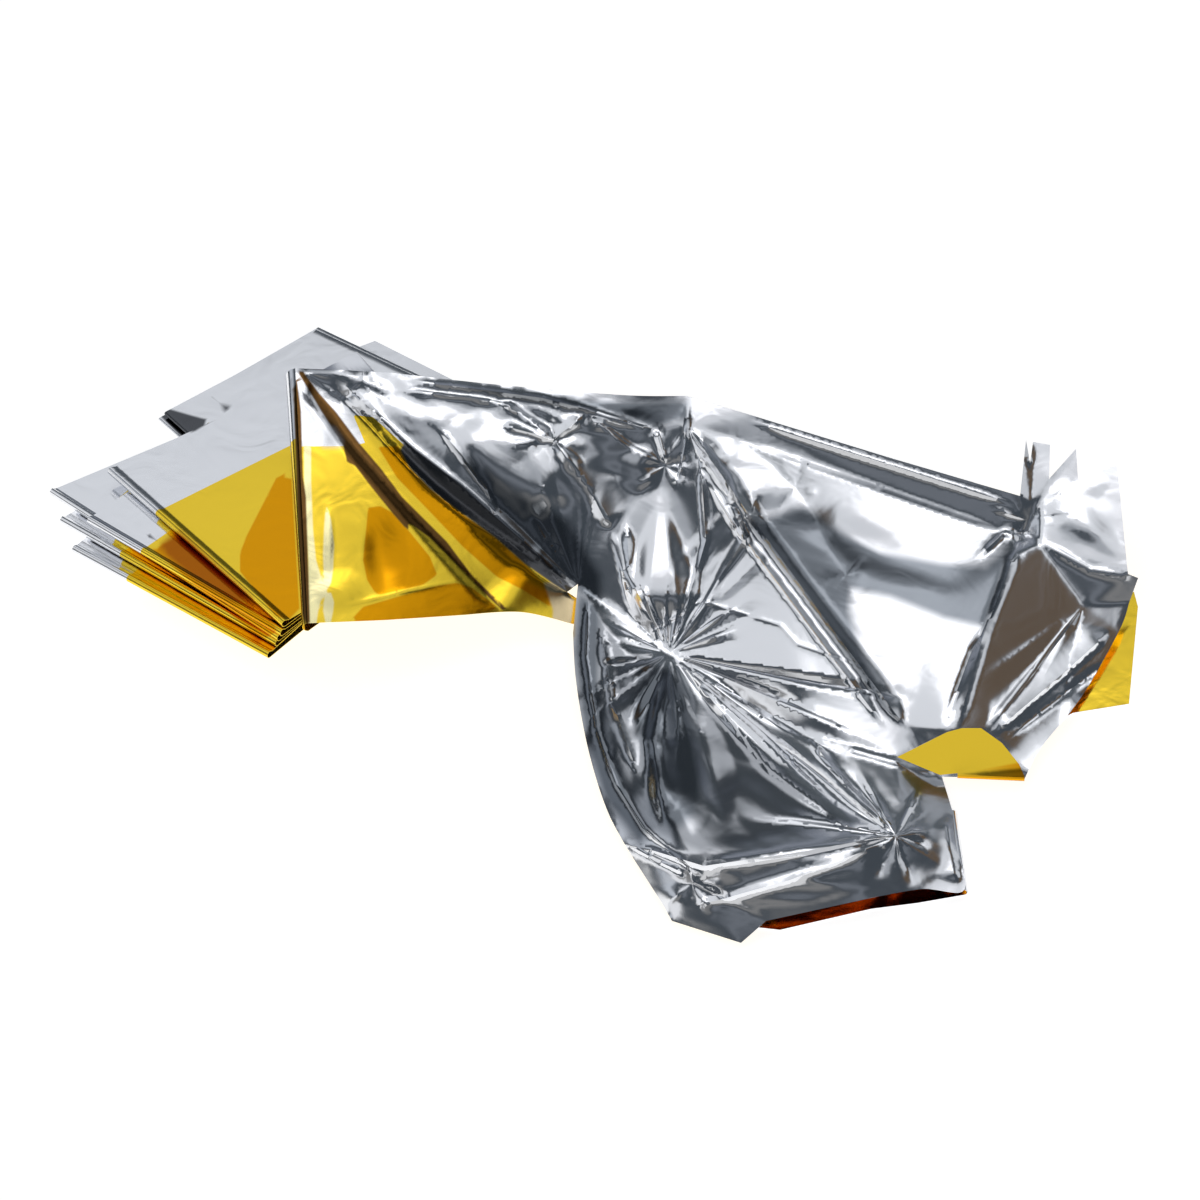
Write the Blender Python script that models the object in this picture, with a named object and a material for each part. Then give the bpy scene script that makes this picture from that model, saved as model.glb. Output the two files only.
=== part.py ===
# Emergency foil blanket, half unpacked: one sheet of metallised film.
#
# At the left the blanket is still a pack, folded back and forth and fanned out
# like a hand of cards. Its top page opens to the right into a crumpled sheet
# with a raised back ridge, a gathered knot, a lower flap whose right edge turns
# under, and a small curl turned back at the front.
#
# +X is to the right, +Y away from the front, +Z up. The origin is on the table
# under the middle of the heap.

import math
import bpy
import bmesh
from mathutils import Vector
from mathutils.geometry import delaunay_2d_cdt

# ---------------------------------------------------------------- main sizes
FILM = 0.0010          # thickness of the solid sheet, metres
CHART_TILT = 45.0      # slope of the chart below, degrees above the table
CHART_RANGE = 1.60     # distance of the chart's eye point, metres
CHART_UNIT = 0.000487  # metres in one chart unit at the middle
CHART_MID = (600.0, 600.0)
ORIGIN = (-0.005571, -0.007756, 0.0)   # chart's middle to the part's origin, metres

STEPS_ALONG = 8        # steps from the back end to the front end of a page
STEPS_PAGE = 5         # steps across a page
STEPS_BEND = 6         # steps round a fold

# Places are charted as the heap looks from in front and above: u runs right,
# v runs down the chart, h is the height above the table in millimetres.


def place(u, v, h):
    tilt = math.radians(CHART_TILT)
    ahead = Vector((0.0, math.cos(tilt), -math.sin(tilt)))
    above = Vector((0.0, math.sin(tilt), math.cos(tilt)))
    eye = -ahead * CHART_RANGE
    ray = (ahead * CHART_RANGE
           + Vector((1.0, 0.0, 0.0)) * ((u - CHART_MID[0]) * CHART_UNIT)
           + above * ((CHART_MID[1] - v) * CHART_UNIT))
    return eye + ray * ((h * 0.001 - eye.z) / ray.z)


def chart(point):
    tilt = math.radians(CHART_TILT)
    ahead = Vector((0.0, math.cos(tilt), -math.sin(tilt)))
    above = Vector((0.0, math.sin(tilt), math.cos(tilt)))
    ray = point + ahead * CHART_RANGE
    ray = ray * (CHART_RANGE / ray.dot(ahead))
    return (CHART_MID[0] + ray.x / CHART_UNIT,
            CHART_MID[1] - ray.dot(above) / CHART_UNIT)


# ---------------------------------------------------------------- the pack
# One row for each fold, from the lowest to the highest. The first row is the
# free edge where the blanket starts. side: which way the fold points. The back
# and the front end are charted; mid and r are the height of the fold's middle
# and its radius at each end, in millimetres.
#  name            side     back u,v     front u,v    mid b,f       r b,f
FOLDS = [
    ("start",       "right", (375, 341), (585, 446), (0.5, 0.5),   (0.0, 0.0)),
    ("rear_left",   "left",  (160, 419), (332, 572), (1.4, 1.4),   (0.9, 0.9)),
    ("rear_right",  "right", (318, 329), (548, 438), (3.2, 3.2),   (0.9, 0.9)),
    ("rear_left_2", "left",  (166, 413), (336, 566), (5.0, 5.0),   (0.9, 0.9)),
    ("rear_right_2", "right", (316, 331), (540, 436), (6.6, 6.6),  (0.7, 0.7)),
    ("fan_1",       "left",  (75, 549),  (270, 655), (8.5, 8.5),   (1.4, 1.4)),
    ("back_1",      "right", (206, 440), (402, 532), (10.6, 10.6), (0.7, 0.7)),
    ("fan_2",       "left",  (63, 520),  (278, 643), (12.7, 12.7), (1.4, 1.4)),
    ("back_2",      "right", (200, 438), (415, 530), (14.8, 14.8), (0.7, 0.7)),
    ("fan_3",       "left",  (53, 492),  (280, 638), (16.9, 16.9), (1.4, 1.4)),
    ("back_3",      "right", (208, 424), (420, 528), (19.0, 19.0), (0.7, 0.7)),
    ("fan_4",       "left",  (90, 520),  (283, 633), (21.1, 21.1), (1.4, 1.4)),
    ("back_4",      "right", (240, 414), (430, 520), (23.2, 23.2), (0.7, 0.7)),
    ("fan_5",       "left",  (111, 471), (285, 624), (25.3, 25.3), (1.4, 1.4)),
    ("back_5",      "right", (356, 353), (490, 500), (27.4, 27.4), (0.7, 0.7)),
    ("upright",     "left",  (296, 376), (308, 627), (55.0, 30.7), (5.0, 2.6)),
]


def fold_ends(row):
    """The fold's back and front centre, and the way it points, level."""
    name, side, back, front, mid, radius = row
    a = place(back[0], back[1], mid[0])
    b = place(front[0], front[1], mid[1])
    run = Vector((b.x - a.x, b.y - a.y, 0.0)).normalized()
    out = Vector((run.y, -run.x, 0.0))
    if (out.x < 0.0) != (side == "left"):
        out = -out
    return a, b, out


def pack_rings():
    """Rows of points from back to front, one row for each step of the chain."""
    rings = []
    last = None
    for row in FOLDS:
        radius = row[5]
        a, b, out = fold_ends(row)
        bend = []
        steps = STEPS_BEND if radius[0] > 0.0 else 0
        for k in range(steps + 1):
            turn = math.radians(-90.0 + 180.0 * k / max(steps, 1))
            if steps == 0:
                turn = 0.0
            ends = []
            for centre, r in ((a, radius[0]), (b, radius[1])):
                ends.append(centre
                            + out * (r * 0.001 * math.cos(turn))
                            + Vector((0, 0, r * 0.001 * math.sin(turn))))
            bend.append(ends)
        if last is not None:
            for k in range(1, STEPS_PAGE):
                f = k / STEPS_PAGE
                rings.append([last[e].lerp(bend[0][e], f) for e in (0, 1)])
        rings.extend(bend)
        last = bend[-1]
    lines = []
    for back, front in rings:
        lines.append([back.lerp(front, k / STEPS_ALONG)
                      for k in range(STEPS_ALONG + 1)])
    return lines


# ---------------------------------------------------------------- open sheet
# Corners where creases meet.
#  name          u     v     h
CORNERS = {
    # back ridge
    "ridge_a":   (340, 370, 60.0),
    "ridge_b":   (392, 373, 58.0),
    "ridge_c":   (500, 385, 54.0),
    "ridge_d":   (620, 395, 50.0),
    "ridge_e":   (686, 396, 47.0),
    "ridge_f":   (750, 415, 43.0),
    "ridge_g":   (890, 458, 36.0),
    "ridge_h":   (972, 482, 32.5),
    "ridge_i":   (1020, 496, 30.0),
    # ruffle at the right end
    "fin_1":     (1026, 440, 35.0),
    "notch_1":   (1030, 463, 32.5),
    "fin_2":     (1033, 442, 34.0),
    "fin_2b":    (1050, 445, 33.0),
    "notch_2":   (1049, 479, 29.5),
    "fin_3":     (1076, 449, 33.0),
    "notch_3":   (1078, 480, 29.5),
    "flap_top":  (1117, 465, 31.0),
    "flap_low":  (1128, 574, 20.0),
    "corner":    (1138, 578, 17.0),
    "edge_a":    (1129, 603, 11.0),
    "edge_b":    (1119, 631, 8.0),
    "edge_c":    (1082, 696, 5.0),
    "edge_d":    (1041, 748, 4.5),
    "edge_e":    (1024, 780, 3.5),
    # front, from the curl back to the knot
    "curl_root": (957, 777, 4.0),
    "curl_fold": (942, 777, 4.0),
    "seam_a":    (895, 759, 10.0),
    "seam_b":    (810, 736, 11.0),
    "seam_c":    (740, 697, 9.0),
    "knot":      (669, 654, 10.0),
    "slit":      (578, 584, 16.0),
    "tab_a":     (567, 592, 10.5),
    "tab_b":     (590, 607, 8.0),
    "tab_c":     (593, 622, 7.0),
    "front_a":   (573, 624, 8.0),
    "front_b":   (521, 612, 14.0),
    "front_c":   (462, 615, 20.0),
    "front_d":   (385, 620, 27.0),
    # creases of the gold page
    "gold_a":    (350, 400, 53.5),
    "gold_b":    (420, 484, 40.0),
    "gold_c":    (504, 556, 22.7),
    "band_a":    (401, 447, 50.0),
    "band_b":    (490, 528, 31.0),
    # left part of the silver sheet
    "left_a":    (434, 421, 52.0),
    "left_b":    (489, 493, 38.0),
    "left_c":    (554, 439, 45.0),
    "left_d":    (586, 414, 49.0),
    "left_e":    (607, 521, 28.0),
    "left_f":    (540, 470, 40.5),
    # middle
    "mid_a":     (655, 429, 43.0),
    "mid_b":     (687, 425, 44.0),
    "mid_c":     (665, 466, 35.0),
    "mid_d":     (679, 486, 32.0),
    "mid_e":     (628, 518, 28.5),
    "mid_f":     (631, 578, 20.0),
    "mid_g":     (659, 545, 24.0),
    "mid_h":     (737, 503, 33.0),
    "mid_i":     (744, 541, 26.0),
    "mid_j":     (700, 560, 20.0),
    # right panel
    "pan_a":     (740, 440, 39.0),
    "pan_b":     (880, 489, 27.5),
    "pan_c":     (1009, 534, 22.0),
    "pan_d":     (796, 487, 34.0),
    "pan_e":     (846, 576, 24.0),
    "pan_f":     (786, 610, 19.0),
    "pan_g":     (907, 727, 12.0),
    "pan_h":     (857, 731, 12.0),
    "pan_i":     (947, 731, 15.0),
    "pan_j":     (984, 633, 20.0),
    "pan_k":     (920, 610, 20.0),
    # right end
    "end_a":     (1030, 503, 27.0),
    "end_b":     (1026, 533, 19.0),
    "end_c":     (1041, 498, 27.0),
    "end_d":     (1040, 543, 23.0),
    "end_e":     (1016, 555, 24.0),
    "end_f":     (1083, 605, 13.0),
    "end_g":     (984, 731, 12.0),
    "end_h":     (1035, 672, 11.0),
    # lower flap, edge then creases
    "low_a":     (573, 633, 12.0),
    "low_b":     (576, 681, 9.0),
    "low_c":     (587, 744, 6.0),
    "low_d":     (604, 802, 4.5),
    "low_e":     (623, 841, 3.5),
    "low_f":     (660, 900, 2.8),
    "low_g":     (672, 921, 2.6),
    "low_h":     (741, 943, 2.6),
    "low_i":     (766, 921, 6.0),
    "low_j":     (871, 898, 8.0),
    "low_k":     (923, 889, 6.0),
    "low_l":     (964, 890, 4.0),
    "low_m":     (956, 846, 6.0),
    "low_n":     (952, 810, 5.0),
    "fold_a":    (632, 668, 15.0),
    "fold_b":    (640, 770, 14.0),
    "fold_c":    (704, 865, 20.0),
    "fold_d":    (800, 850, 20.0),
    "fold_e":    (896, 836, 14.0),
    "fold_f":    (720, 760, 10.0),
    "fold_g":    (790, 770, 10.0),
    "fold_h":    (860, 800, 12.0),
    "fold_i":    (686, 878, 13.0),
    "fold_j":    (700, 700, 9.0),
}

# Outlines, by corner. The open sheet starts and ends at the upright fold.
SHEET_EDGE = ["ridge_a", "ridge_b", "ridge_c", "ridge_d", "ridge_e", "ridge_f",
              "ridge_g", "ridge_h", "ridge_i", "fin_1", "notch_1", "fin_2", "fin_2b",
              "notch_2", "fin_3", "notch_3", "flap_top", "flap_low", "corner",
              "edge_a", "edge_b", "edge_c", "edge_d", "edge_e", "curl_root",
              "curl_fold", "seam_a", "seam_b", "seam_c", "knot", "slit", "tab_a", "tab_b",
              "tab_c", "front_a", "front_b", "front_c", "front_d"]
LOWER_EDGE = ["slit", "knot", "seam_c", "seam_b", "seam_a", "curl_fold",
              "low_n", "low_m", "low_l", "low_k", "low_j", "low_i", "low_h",
              "low_g", "low_f", "low_e", "low_d", "low_c", "low_b", "low_a"]

# Creases, a row for each: the corners it runs through.
SHEET_CREASES = [
    ("gold_a", "gold_b", "gold_c", "front_b"),
    ("ridge_a", "band_a", "band_b", "slit"),
    ("ridge_b", "left_a", "left_b", "slit"),
    ("left_a", "left_f", "left_e"),
    ("ridge_c", "left_c", "left_e"),
    ("left_d", "left_c"), ("left_d", "mid_a"),
    ("left_e", "mid_e", "mid_f", "knot"),
    ("mid_a", "mid_c", "mid_e"), ("mid_c", "mid_d", "mid_g", "knot"),
    ("ridge_e", "mid_b", "mid_c"), ("mid_a", "mid_b", "pan_a"),
    ("mid_b", "mid_h", "mid_i", "mid_j", "knot"),
    ("pan_a", "pan_b", "pan_c", "end_b"),
    ("pan_a", "pan_d", "pan_e", "pan_g"), ("mid_h", "pan_d"),
    ("mid_i", "pan_e"), ("pan_f", "pan_h"), ("pan_e", "pan_k", "pan_j"),
    ("pan_h", "pan_g", "pan_i"), ("seam_b", "pan_h"),
    ("pan_c", "end_e", "pan_j", "pan_i"),
    ("ridge_i", "end_a", "end_b", "end_d"), ("end_a", "end_c"),
    ("fin_1", "end_a"), ("notch_1", "end_a"), ("fin_2", "end_a"),
    ("end_c", "notch_2"), ("end_c", "notch_3"), ("end_c", "fin_3"),
    ("end_c", "end_d", "flap_low"), ("end_e", "end_d", "end_f", "edge_a"),
    ("end_f", "end_h", "end_g", "pan_i"), ("end_g", "edge_c"),
    ("end_f", "edge_b"),
]
LOWER_CREASES = [
    ("slit", "fold_a", "knot"), ("low_b", "fold_a", "fold_b", "fold_c"),
    ("knot", "fold_j", "fold_f", "fold_d"), ("knot", "fold_g", "fold_h", "fold_e"),
    ("fold_j", "fold_b"), ("low_e", "fold_c", "fold_d", "fold_e"),
    ("fold_e", "low_m"), ("fold_e", "low_k"), ("low_e", "fold_i", "low_i"),
    ("fold_e", "seam_a"),
]

# The ply that turns under the lower flap's right edge and lies on the table.
UNDER = {
    "under_a":   (918, 903, 0.5),
    "under_b":   (871, 909, 0.5),
    "under_c":   (780, 930, 0.5),
    "under_d":   (735, 925, 0.5),
    "under_e":   (690, 830, 0.5),
    "under_f":   (760, 730, 0.5),
    "under_g":   (900, 690, 0.5),
    "under_h":   (1040, 640, 0.5),
    "under_i":   (1090, 600, 0.5),
    "under_j":   (1134, 592, 0.5),
    "under_k":   (1138, 607, 0.5),
    "under_l":   (1129, 704, 0.5),
    "under_m":   (1073, 713, 0.5),
    "under_n":   (1010, 745, 0.5),
    "under_o":   (936, 768, 0.5),
}
UNDER_JOIN = ["low_n", "low_m", "low_l"]
UNDER_EDGE = ["under_a", "under_b", "under_c", "under_d", "under_e", "under_f",
              "under_g", "under_h", "under_i", "under_j", "under_k", "under_l",
              "under_m", "under_n", "under_o"]
UNDER_LEVEL = 0.5      # height of the under ply, mm

# The curl at the front, turned back over the sheet.
CURL = {
    "curl_a":    (1019, 764, 10.0),
    "curl_b":    (1002, 743, 17.0),
    "curl_c":    (981, 728, 22.5),
    "curl_d":    (962, 728, 24.0),
    "curl_e":    (947, 732, 24.0),
    "curl_f":    (897, 757, 12.2),
    "curl_g":    (940, 775, 8.6),
}
CURL_JOIN = ["curl_root", "edge_e"]
CURL_EDGE = ["curl_a", "curl_b", "curl_c", "curl_d", "curl_e", "curl_f", "curl_g"]
CURL_RISE = 2.6        # height of the turned-back ply over the fold, mm

# Back of the tent: from the ridge down to the table, a row for each rib.
#  ridge corner  u     v     h
APRON = [
    ("ridge_e",  690,  431, 0.6),
    ("ridge_f",  756,  447, 0.6),
    ("ridge_g",  893,  482, 0.6),
    ("ridge_h",  972,  502, 0.6),
]
APRON_STEPS = 3


# ---------------------------------------------------------------- building
class Sheet:
    """The middle surface, gathered face by face and welded by position."""

    def __init__(self):
        self.mesh = bmesh.new()
        self.seen = {}

    def vert(self, p):
        key = (round(p.x, 6), round(p.y, 6), round(p.z, 6))
        if key not in self.seen:
            self.seen[key] = self.mesh.verts.new(p)
        return self.seen[key]

    def face(self, points):
        vs = []
        for p in points:
            v = self.vert(p)
            if v not in vs:
                vs.append(v)
        if len(vs) > 2 and self.mesh.faces.get(vs) is None:
            self.mesh.faces.new(vs)

    def strip(self, one, two):
        for k in range(len(one) - 1):
            self.face([one[k], two[k], two[k + 1], one[k + 1]])

    def patch(self, rim, creases):
        """Triangles inside a rim of (u, v, point), along the given creases."""
        spots = list(rim)
        edges = []

        def index(spot):
            for i, other in enumerate(spots):
                if abs(other[0] - spot[0]) + abs(other[1] - spot[1]) < 0.01:
                    return i
            spots.append(spot)
            return len(spots) - 1

        for crease in creases:
            ids = [index(s) for s in crease]
            edges.extend(zip(ids[:-1], ids[1:]))
        flat = [Vector((s[0], -s[1])) for s in spots]
        out = delaunay_2d_cdt(flat, edges, [list(range(len(rim)))], 1, 1e-4)
        verts, faces, origin = out[0], out[2], out[3]
        for f in faces:
            pts = []
            for i in f:
                if not origin[i]:
                    raise ValueError("creases cross away from a corner near %s"
                                     % (tuple(verts[i]),))
                pts.append(spots[origin[i][0]][2])
            self.face(pts)


def corner(name):
    for table in (CORNERS, UNDER, CURL):
        if name in table:
            u, v, h = table[name]
            return (u, v, place(u, v, h))
    raise KeyError(name)


def bend(low, high, away):
    """Points round a fold from the low line to the high line, row by row."""
    rows = []
    for k in range(STEPS_BEND + 1):
        turn = math.radians(-90.0 + 180.0 * k / STEPS_BEND)
        row = []
        for a, b, out in zip(low, high, away):
            mid = (a + b) * 0.5
            up = (b - a) * 0.5
            row.append(mid + up * math.sin(turn)
                       + out * (up.length * math.cos(turn)))
        rows.append(row)
    rows[0], rows[-1] = list(low), list(high)
    return rows


def split(points, parts):
    out = []
    for a, b in zip(points[:-1], points[1:]):
        out.extend(a.lerp(b, k / parts) for k in range(parts))
    return out + [points[-1]]


def build_sheet():
    sheet = Sheet()
    rings = pack_rings()
    for one, two in zip(rings[:-1], rings[1:]):
        sheet.strip(one, two)

    top = rings[-1]                       # upright fold, back to front
    rim = [chart(p) + (p,) for p in reversed(top)]
    rim += [corner(n) for n in SHEET_EDGE]
    creases = [[corner(n) for n in row] for row in SHEET_CREASES]
    creases[0] = [rim[len(top) - 1]] + creases[0]
    sheet.patch(rim, creases)

    rim = [corner(n) for n in LOWER_EDGE]
    sheet.patch(rim, [[corner(n) for n in row] for row in LOWER_CREASES])

    # under ply, joined round the lower flap's right edge
    high = [corner(n)[2] for n in UNDER_JOIN]
    low = [Vector((p.x, p.y, UNDER_LEVEL * 0.001)) for p in high]
    rows = bend(low, high, [Vector((1.0, 0.0, 0.0))] * len(high))
    for one, two in zip(rows[:-1], rows[1:]):
        sheet.strip(one, two)
    rim = [chart(p) + (p,) for p in low] + [corner(n) for n in UNDER_EDGE]
    sheet.patch(rim, [])

    # curl, joined round the front fold
    low = split([corner(n)[2] for n in CURL_JOIN], 1)
    high = [p + Vector((0, 0, CURL_RISE * 0.001)) for p in low]
    rows = bend(low, high, [Vector((0.0, -1.0, 0.0))] * len(low))
    for one, two in zip(rows[:-1], rows[1:]):
        sheet.strip(one, two)
    rim = [chart(p) + (p,) for p in high] + [corner(n) for n in CURL_EDGE]
    sheet.patch(rim, [])

    # back of the tent
    tops = [corner(row[0])[2] for row in APRON]
    feet = [place(row[1], row[2], row[3]) for row in APRON]
    last = tops
    for k in range(1, APRON_STEPS + 1):
        line = [a.lerp(b, k / APRON_STEPS) for a, b in zip(tops, feet)]
        sheet.strip(last, line)
        last = line
    return sheet.mesh


def finish(bm, name, colour):
    bmesh.ops.recalc_face_normals(bm, faces=bm.faces[:])
    up = sum(f.normal.z * f.calc_area() for f in bm.faces if f.calc_center_median().z > 0.010)
    if up < 0.0:
        bmesh.ops.reverse_faces(bm, faces=bm.faces[:])
    for v in bm.verts:
        v.co -= Vector(ORIGIN)
    mesh = bpy.data.meshes.new(name)
    bm.to_mesh(mesh)
    bm.free()
    obj = bpy.data.objects.new(name, mesh)
    bpy.context.scene.collection.objects.link(obj)
    solid = obj.modifiers.new("film", "SOLIDIFY")
    solid.thickness = FILM
    solid.offset = 0.0
    solid.use_even_offset = True
    solid.thickness_clamp = 1.0
    mat = bpy.data.materials.new(name + "_finish")
    mat.use_nodes = True
    shader = mat.node_tree.nodes["Principled BSDF"]
    shader.inputs["Base Color"].default_value = colour
    shader.inputs["Metallic"].default_value = 1.0
    shader.inputs["Roughness"].default_value = 0.12
    mesh.materials.append(mat)
    return obj


def main():
    for obj in list(bpy.data.objects):
        bpy.data.objects.remove(obj, do_unlink=True)
    finish(build_sheet(), "foil_sheet", (0.86, 0.87, 0.90, 1.0))


main()
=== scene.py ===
import math
import bpy
import bmesh
import numpy as np
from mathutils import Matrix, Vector, noise
from mathutils.bvhtree import BVHTree
from mathutils.geometry import delaunay_2d_cdt


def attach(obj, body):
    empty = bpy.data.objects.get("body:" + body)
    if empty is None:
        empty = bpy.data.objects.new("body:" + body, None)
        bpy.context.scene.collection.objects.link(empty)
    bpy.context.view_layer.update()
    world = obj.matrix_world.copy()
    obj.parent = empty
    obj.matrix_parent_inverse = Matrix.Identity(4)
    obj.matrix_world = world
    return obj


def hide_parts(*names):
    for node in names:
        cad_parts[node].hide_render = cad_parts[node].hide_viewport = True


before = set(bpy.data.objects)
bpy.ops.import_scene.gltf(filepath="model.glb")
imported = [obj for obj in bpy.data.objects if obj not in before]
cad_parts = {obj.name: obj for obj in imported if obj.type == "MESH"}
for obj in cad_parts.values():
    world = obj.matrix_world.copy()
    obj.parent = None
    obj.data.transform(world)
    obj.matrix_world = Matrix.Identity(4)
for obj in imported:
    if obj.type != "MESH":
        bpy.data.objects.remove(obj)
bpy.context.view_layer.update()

# ---------------------------------------------------------------- main sizes
FILM = 0.00022         # shown thickness of the film, metres
CHART_TILT = 45.0
CHART_RANGE = 1.60
CHART_UNIT = 0.000487
CHART_MID = (600.0, 600.0)
ORIGIN = Vector((-0.005571, -0.007756, 0.0))

STEPS_ALONG = 2        # control steps, made finer by subdivision
STEPS_PAGE = 2
STEPS_BEND = 4
GOLD_SHARE = 0.285     # share of a page, from its back end, that shows silver
REAR_FOLDS = 4         # folds of the rear pages, silver all over
BEAD = 0.55            # swelling of the film at the fan's folds, mm of radius


def place(u, v, h):
    tilt = math.radians(CHART_TILT)
    ahead = Vector((0.0, math.cos(tilt), -math.sin(tilt)))
    above = Vector((0.0, math.sin(tilt), math.cos(tilt)))
    eye = -ahead * CHART_RANGE
    ray = (ahead * CHART_RANGE
           + Vector((1.0, 0.0, 0.0)) * ((u - CHART_MID[0]) * CHART_UNIT)
           + above * ((CHART_MID[1] - v) * CHART_UNIT))
    return eye + ray * ((h * 0.001 - eye.z) / ray.z)


def chart(point):
    tilt = math.radians(CHART_TILT)
    ahead = Vector((0.0, math.cos(tilt), -math.sin(tilt)))
    above = Vector((0.0, math.sin(tilt), math.cos(tilt)))
    ray = point + ahead * CHART_RANGE
    ray = ray * (CHART_RANGE / ray.dot(ahead))
    return (CHART_MID[0] + ray.x / CHART_UNIT,
            CHART_MID[1] - ray.dot(above) / CHART_UNIT)


def chart_all(co):
    """chart() of many points at once: two arrays, u and v."""
    c = math.cos(math.radians(CHART_TILT))
    s = math.sin(math.radians(CHART_TILT))
    x, y, z = co[:, 0], co[:, 1] + c * CHART_RANGE, co[:, 2] - s * CHART_RANGE
    depth = y * c - z * s
    rise = y * s + z * c
    k = CHART_RANGE / depth / CHART_UNIT
    return CHART_MID[0] + x * k, CHART_MID[1] - rise * k


# ---------------------------------------------------------------- the pack
#  name            side     back u,v     front u,v    mid b,f       r b,f
FOLDS = [
    ("start",       "right", (375, 341), (585, 446), (0.5, 0.5),   (0.0, 0.0)),
    ("rear_left",   "left",  (160, 419), (332, 572), (1.4, 1.4),   (0.9, 0.9)),
    ("rear_right",  "right", (318, 329), (548, 438), (3.2, 3.2),   (0.9, 0.9)),
    ("rear_left_2", "left",  (166, 413), (336, 566), (5.0, 5.0),   (0.9, 0.9)),
    ("rear_right_2", "right", (316, 331), (540, 436), (6.6, 6.6),  (0.7, 0.7)),
    ("fan_1",       "left",  (75, 549),  (270, 655), (8.5, 8.5),   (1.4, 1.4)),
    ("back_1",      "right", (206, 440), (402, 532), (10.6, 10.6), (0.7, 0.7)),
    ("fan_2",       "left",  (63, 520),  (278, 643), (12.7, 12.7), (1.4, 1.4)),
    ("back_2",      "right", (200, 438), (415, 530), (14.8, 14.8), (0.7, 0.7)),
    ("fan_3",       "left",  (53, 492),  (280, 638), (16.9, 16.9), (1.4, 1.4)),
    ("back_3",      "right", (208, 424), (420, 528), (19.0, 19.0), (0.7, 0.7)),
    ("fan_4",       "left",  (90, 520),  (283, 633), (21.1, 21.1), (1.4, 1.4)),
    ("back_4",      "right", (240, 414), (430, 520), (23.2, 23.2), (0.7, 0.7)),
    ("fan_5",       "left",  (111, 471), (285, 624), (25.3, 25.3), (1.4, 1.4)),
    ("back_5",      "right", (356, 353), (490, 500), (27.4, 27.4), (0.7, 0.7)),
    ("upright",     "left",  (296, 376), (308, 627), (55.0, 30.7), (5.0, 2.6)),
]


def fold_ends(row):
    name, side, back, front, mid, radius = row
    a = place(back[0], back[1], mid[0])
    b = place(front[0], front[1], mid[1])
    run = Vector((b.x - a.x, b.y - a.y, 0.0)).normalized()
    out = Vector((run.y, -run.x, 0.0))
    if (out.x < 0.0) != (side == "left"):
        out = -out
    return a, b, out


def pack_rings():
    rings = []
    last = None
    for row in FOLDS:
        radius = row[5]
        a, b, out = fold_ends(row)
        bend = []
        steps = STEPS_BEND if radius[0] > 0.0 else 0
        for k in range(steps + 1):
            turn = math.radians(-90.0 + 180.0 * k / max(steps, 1))
            if steps == 0:
                turn = 0.0
            ends = []
            for centre, r in ((a, radius[0]), (b, radius[1])):
                ends.append(centre
                            + out * (r * 0.001 * math.cos(turn))
                            + Vector((0, 0, r * 0.001 * math.sin(turn))))
            bend.append(ends)
        if last is not None:
            for k in range(1, STEPS_PAGE):
                f = k / STEPS_PAGE
                rings.append([last[e].lerp(bend[0][e], f) for e in (0, 1)])
        rings.extend(bend)
        last = bend[-1]
    lines = []
    for back, front in rings:
        lines.append([back.lerp(front, k / STEPS_ALONG)
                      for k in range(STEPS_ALONG + 1)])
    return lines


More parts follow.
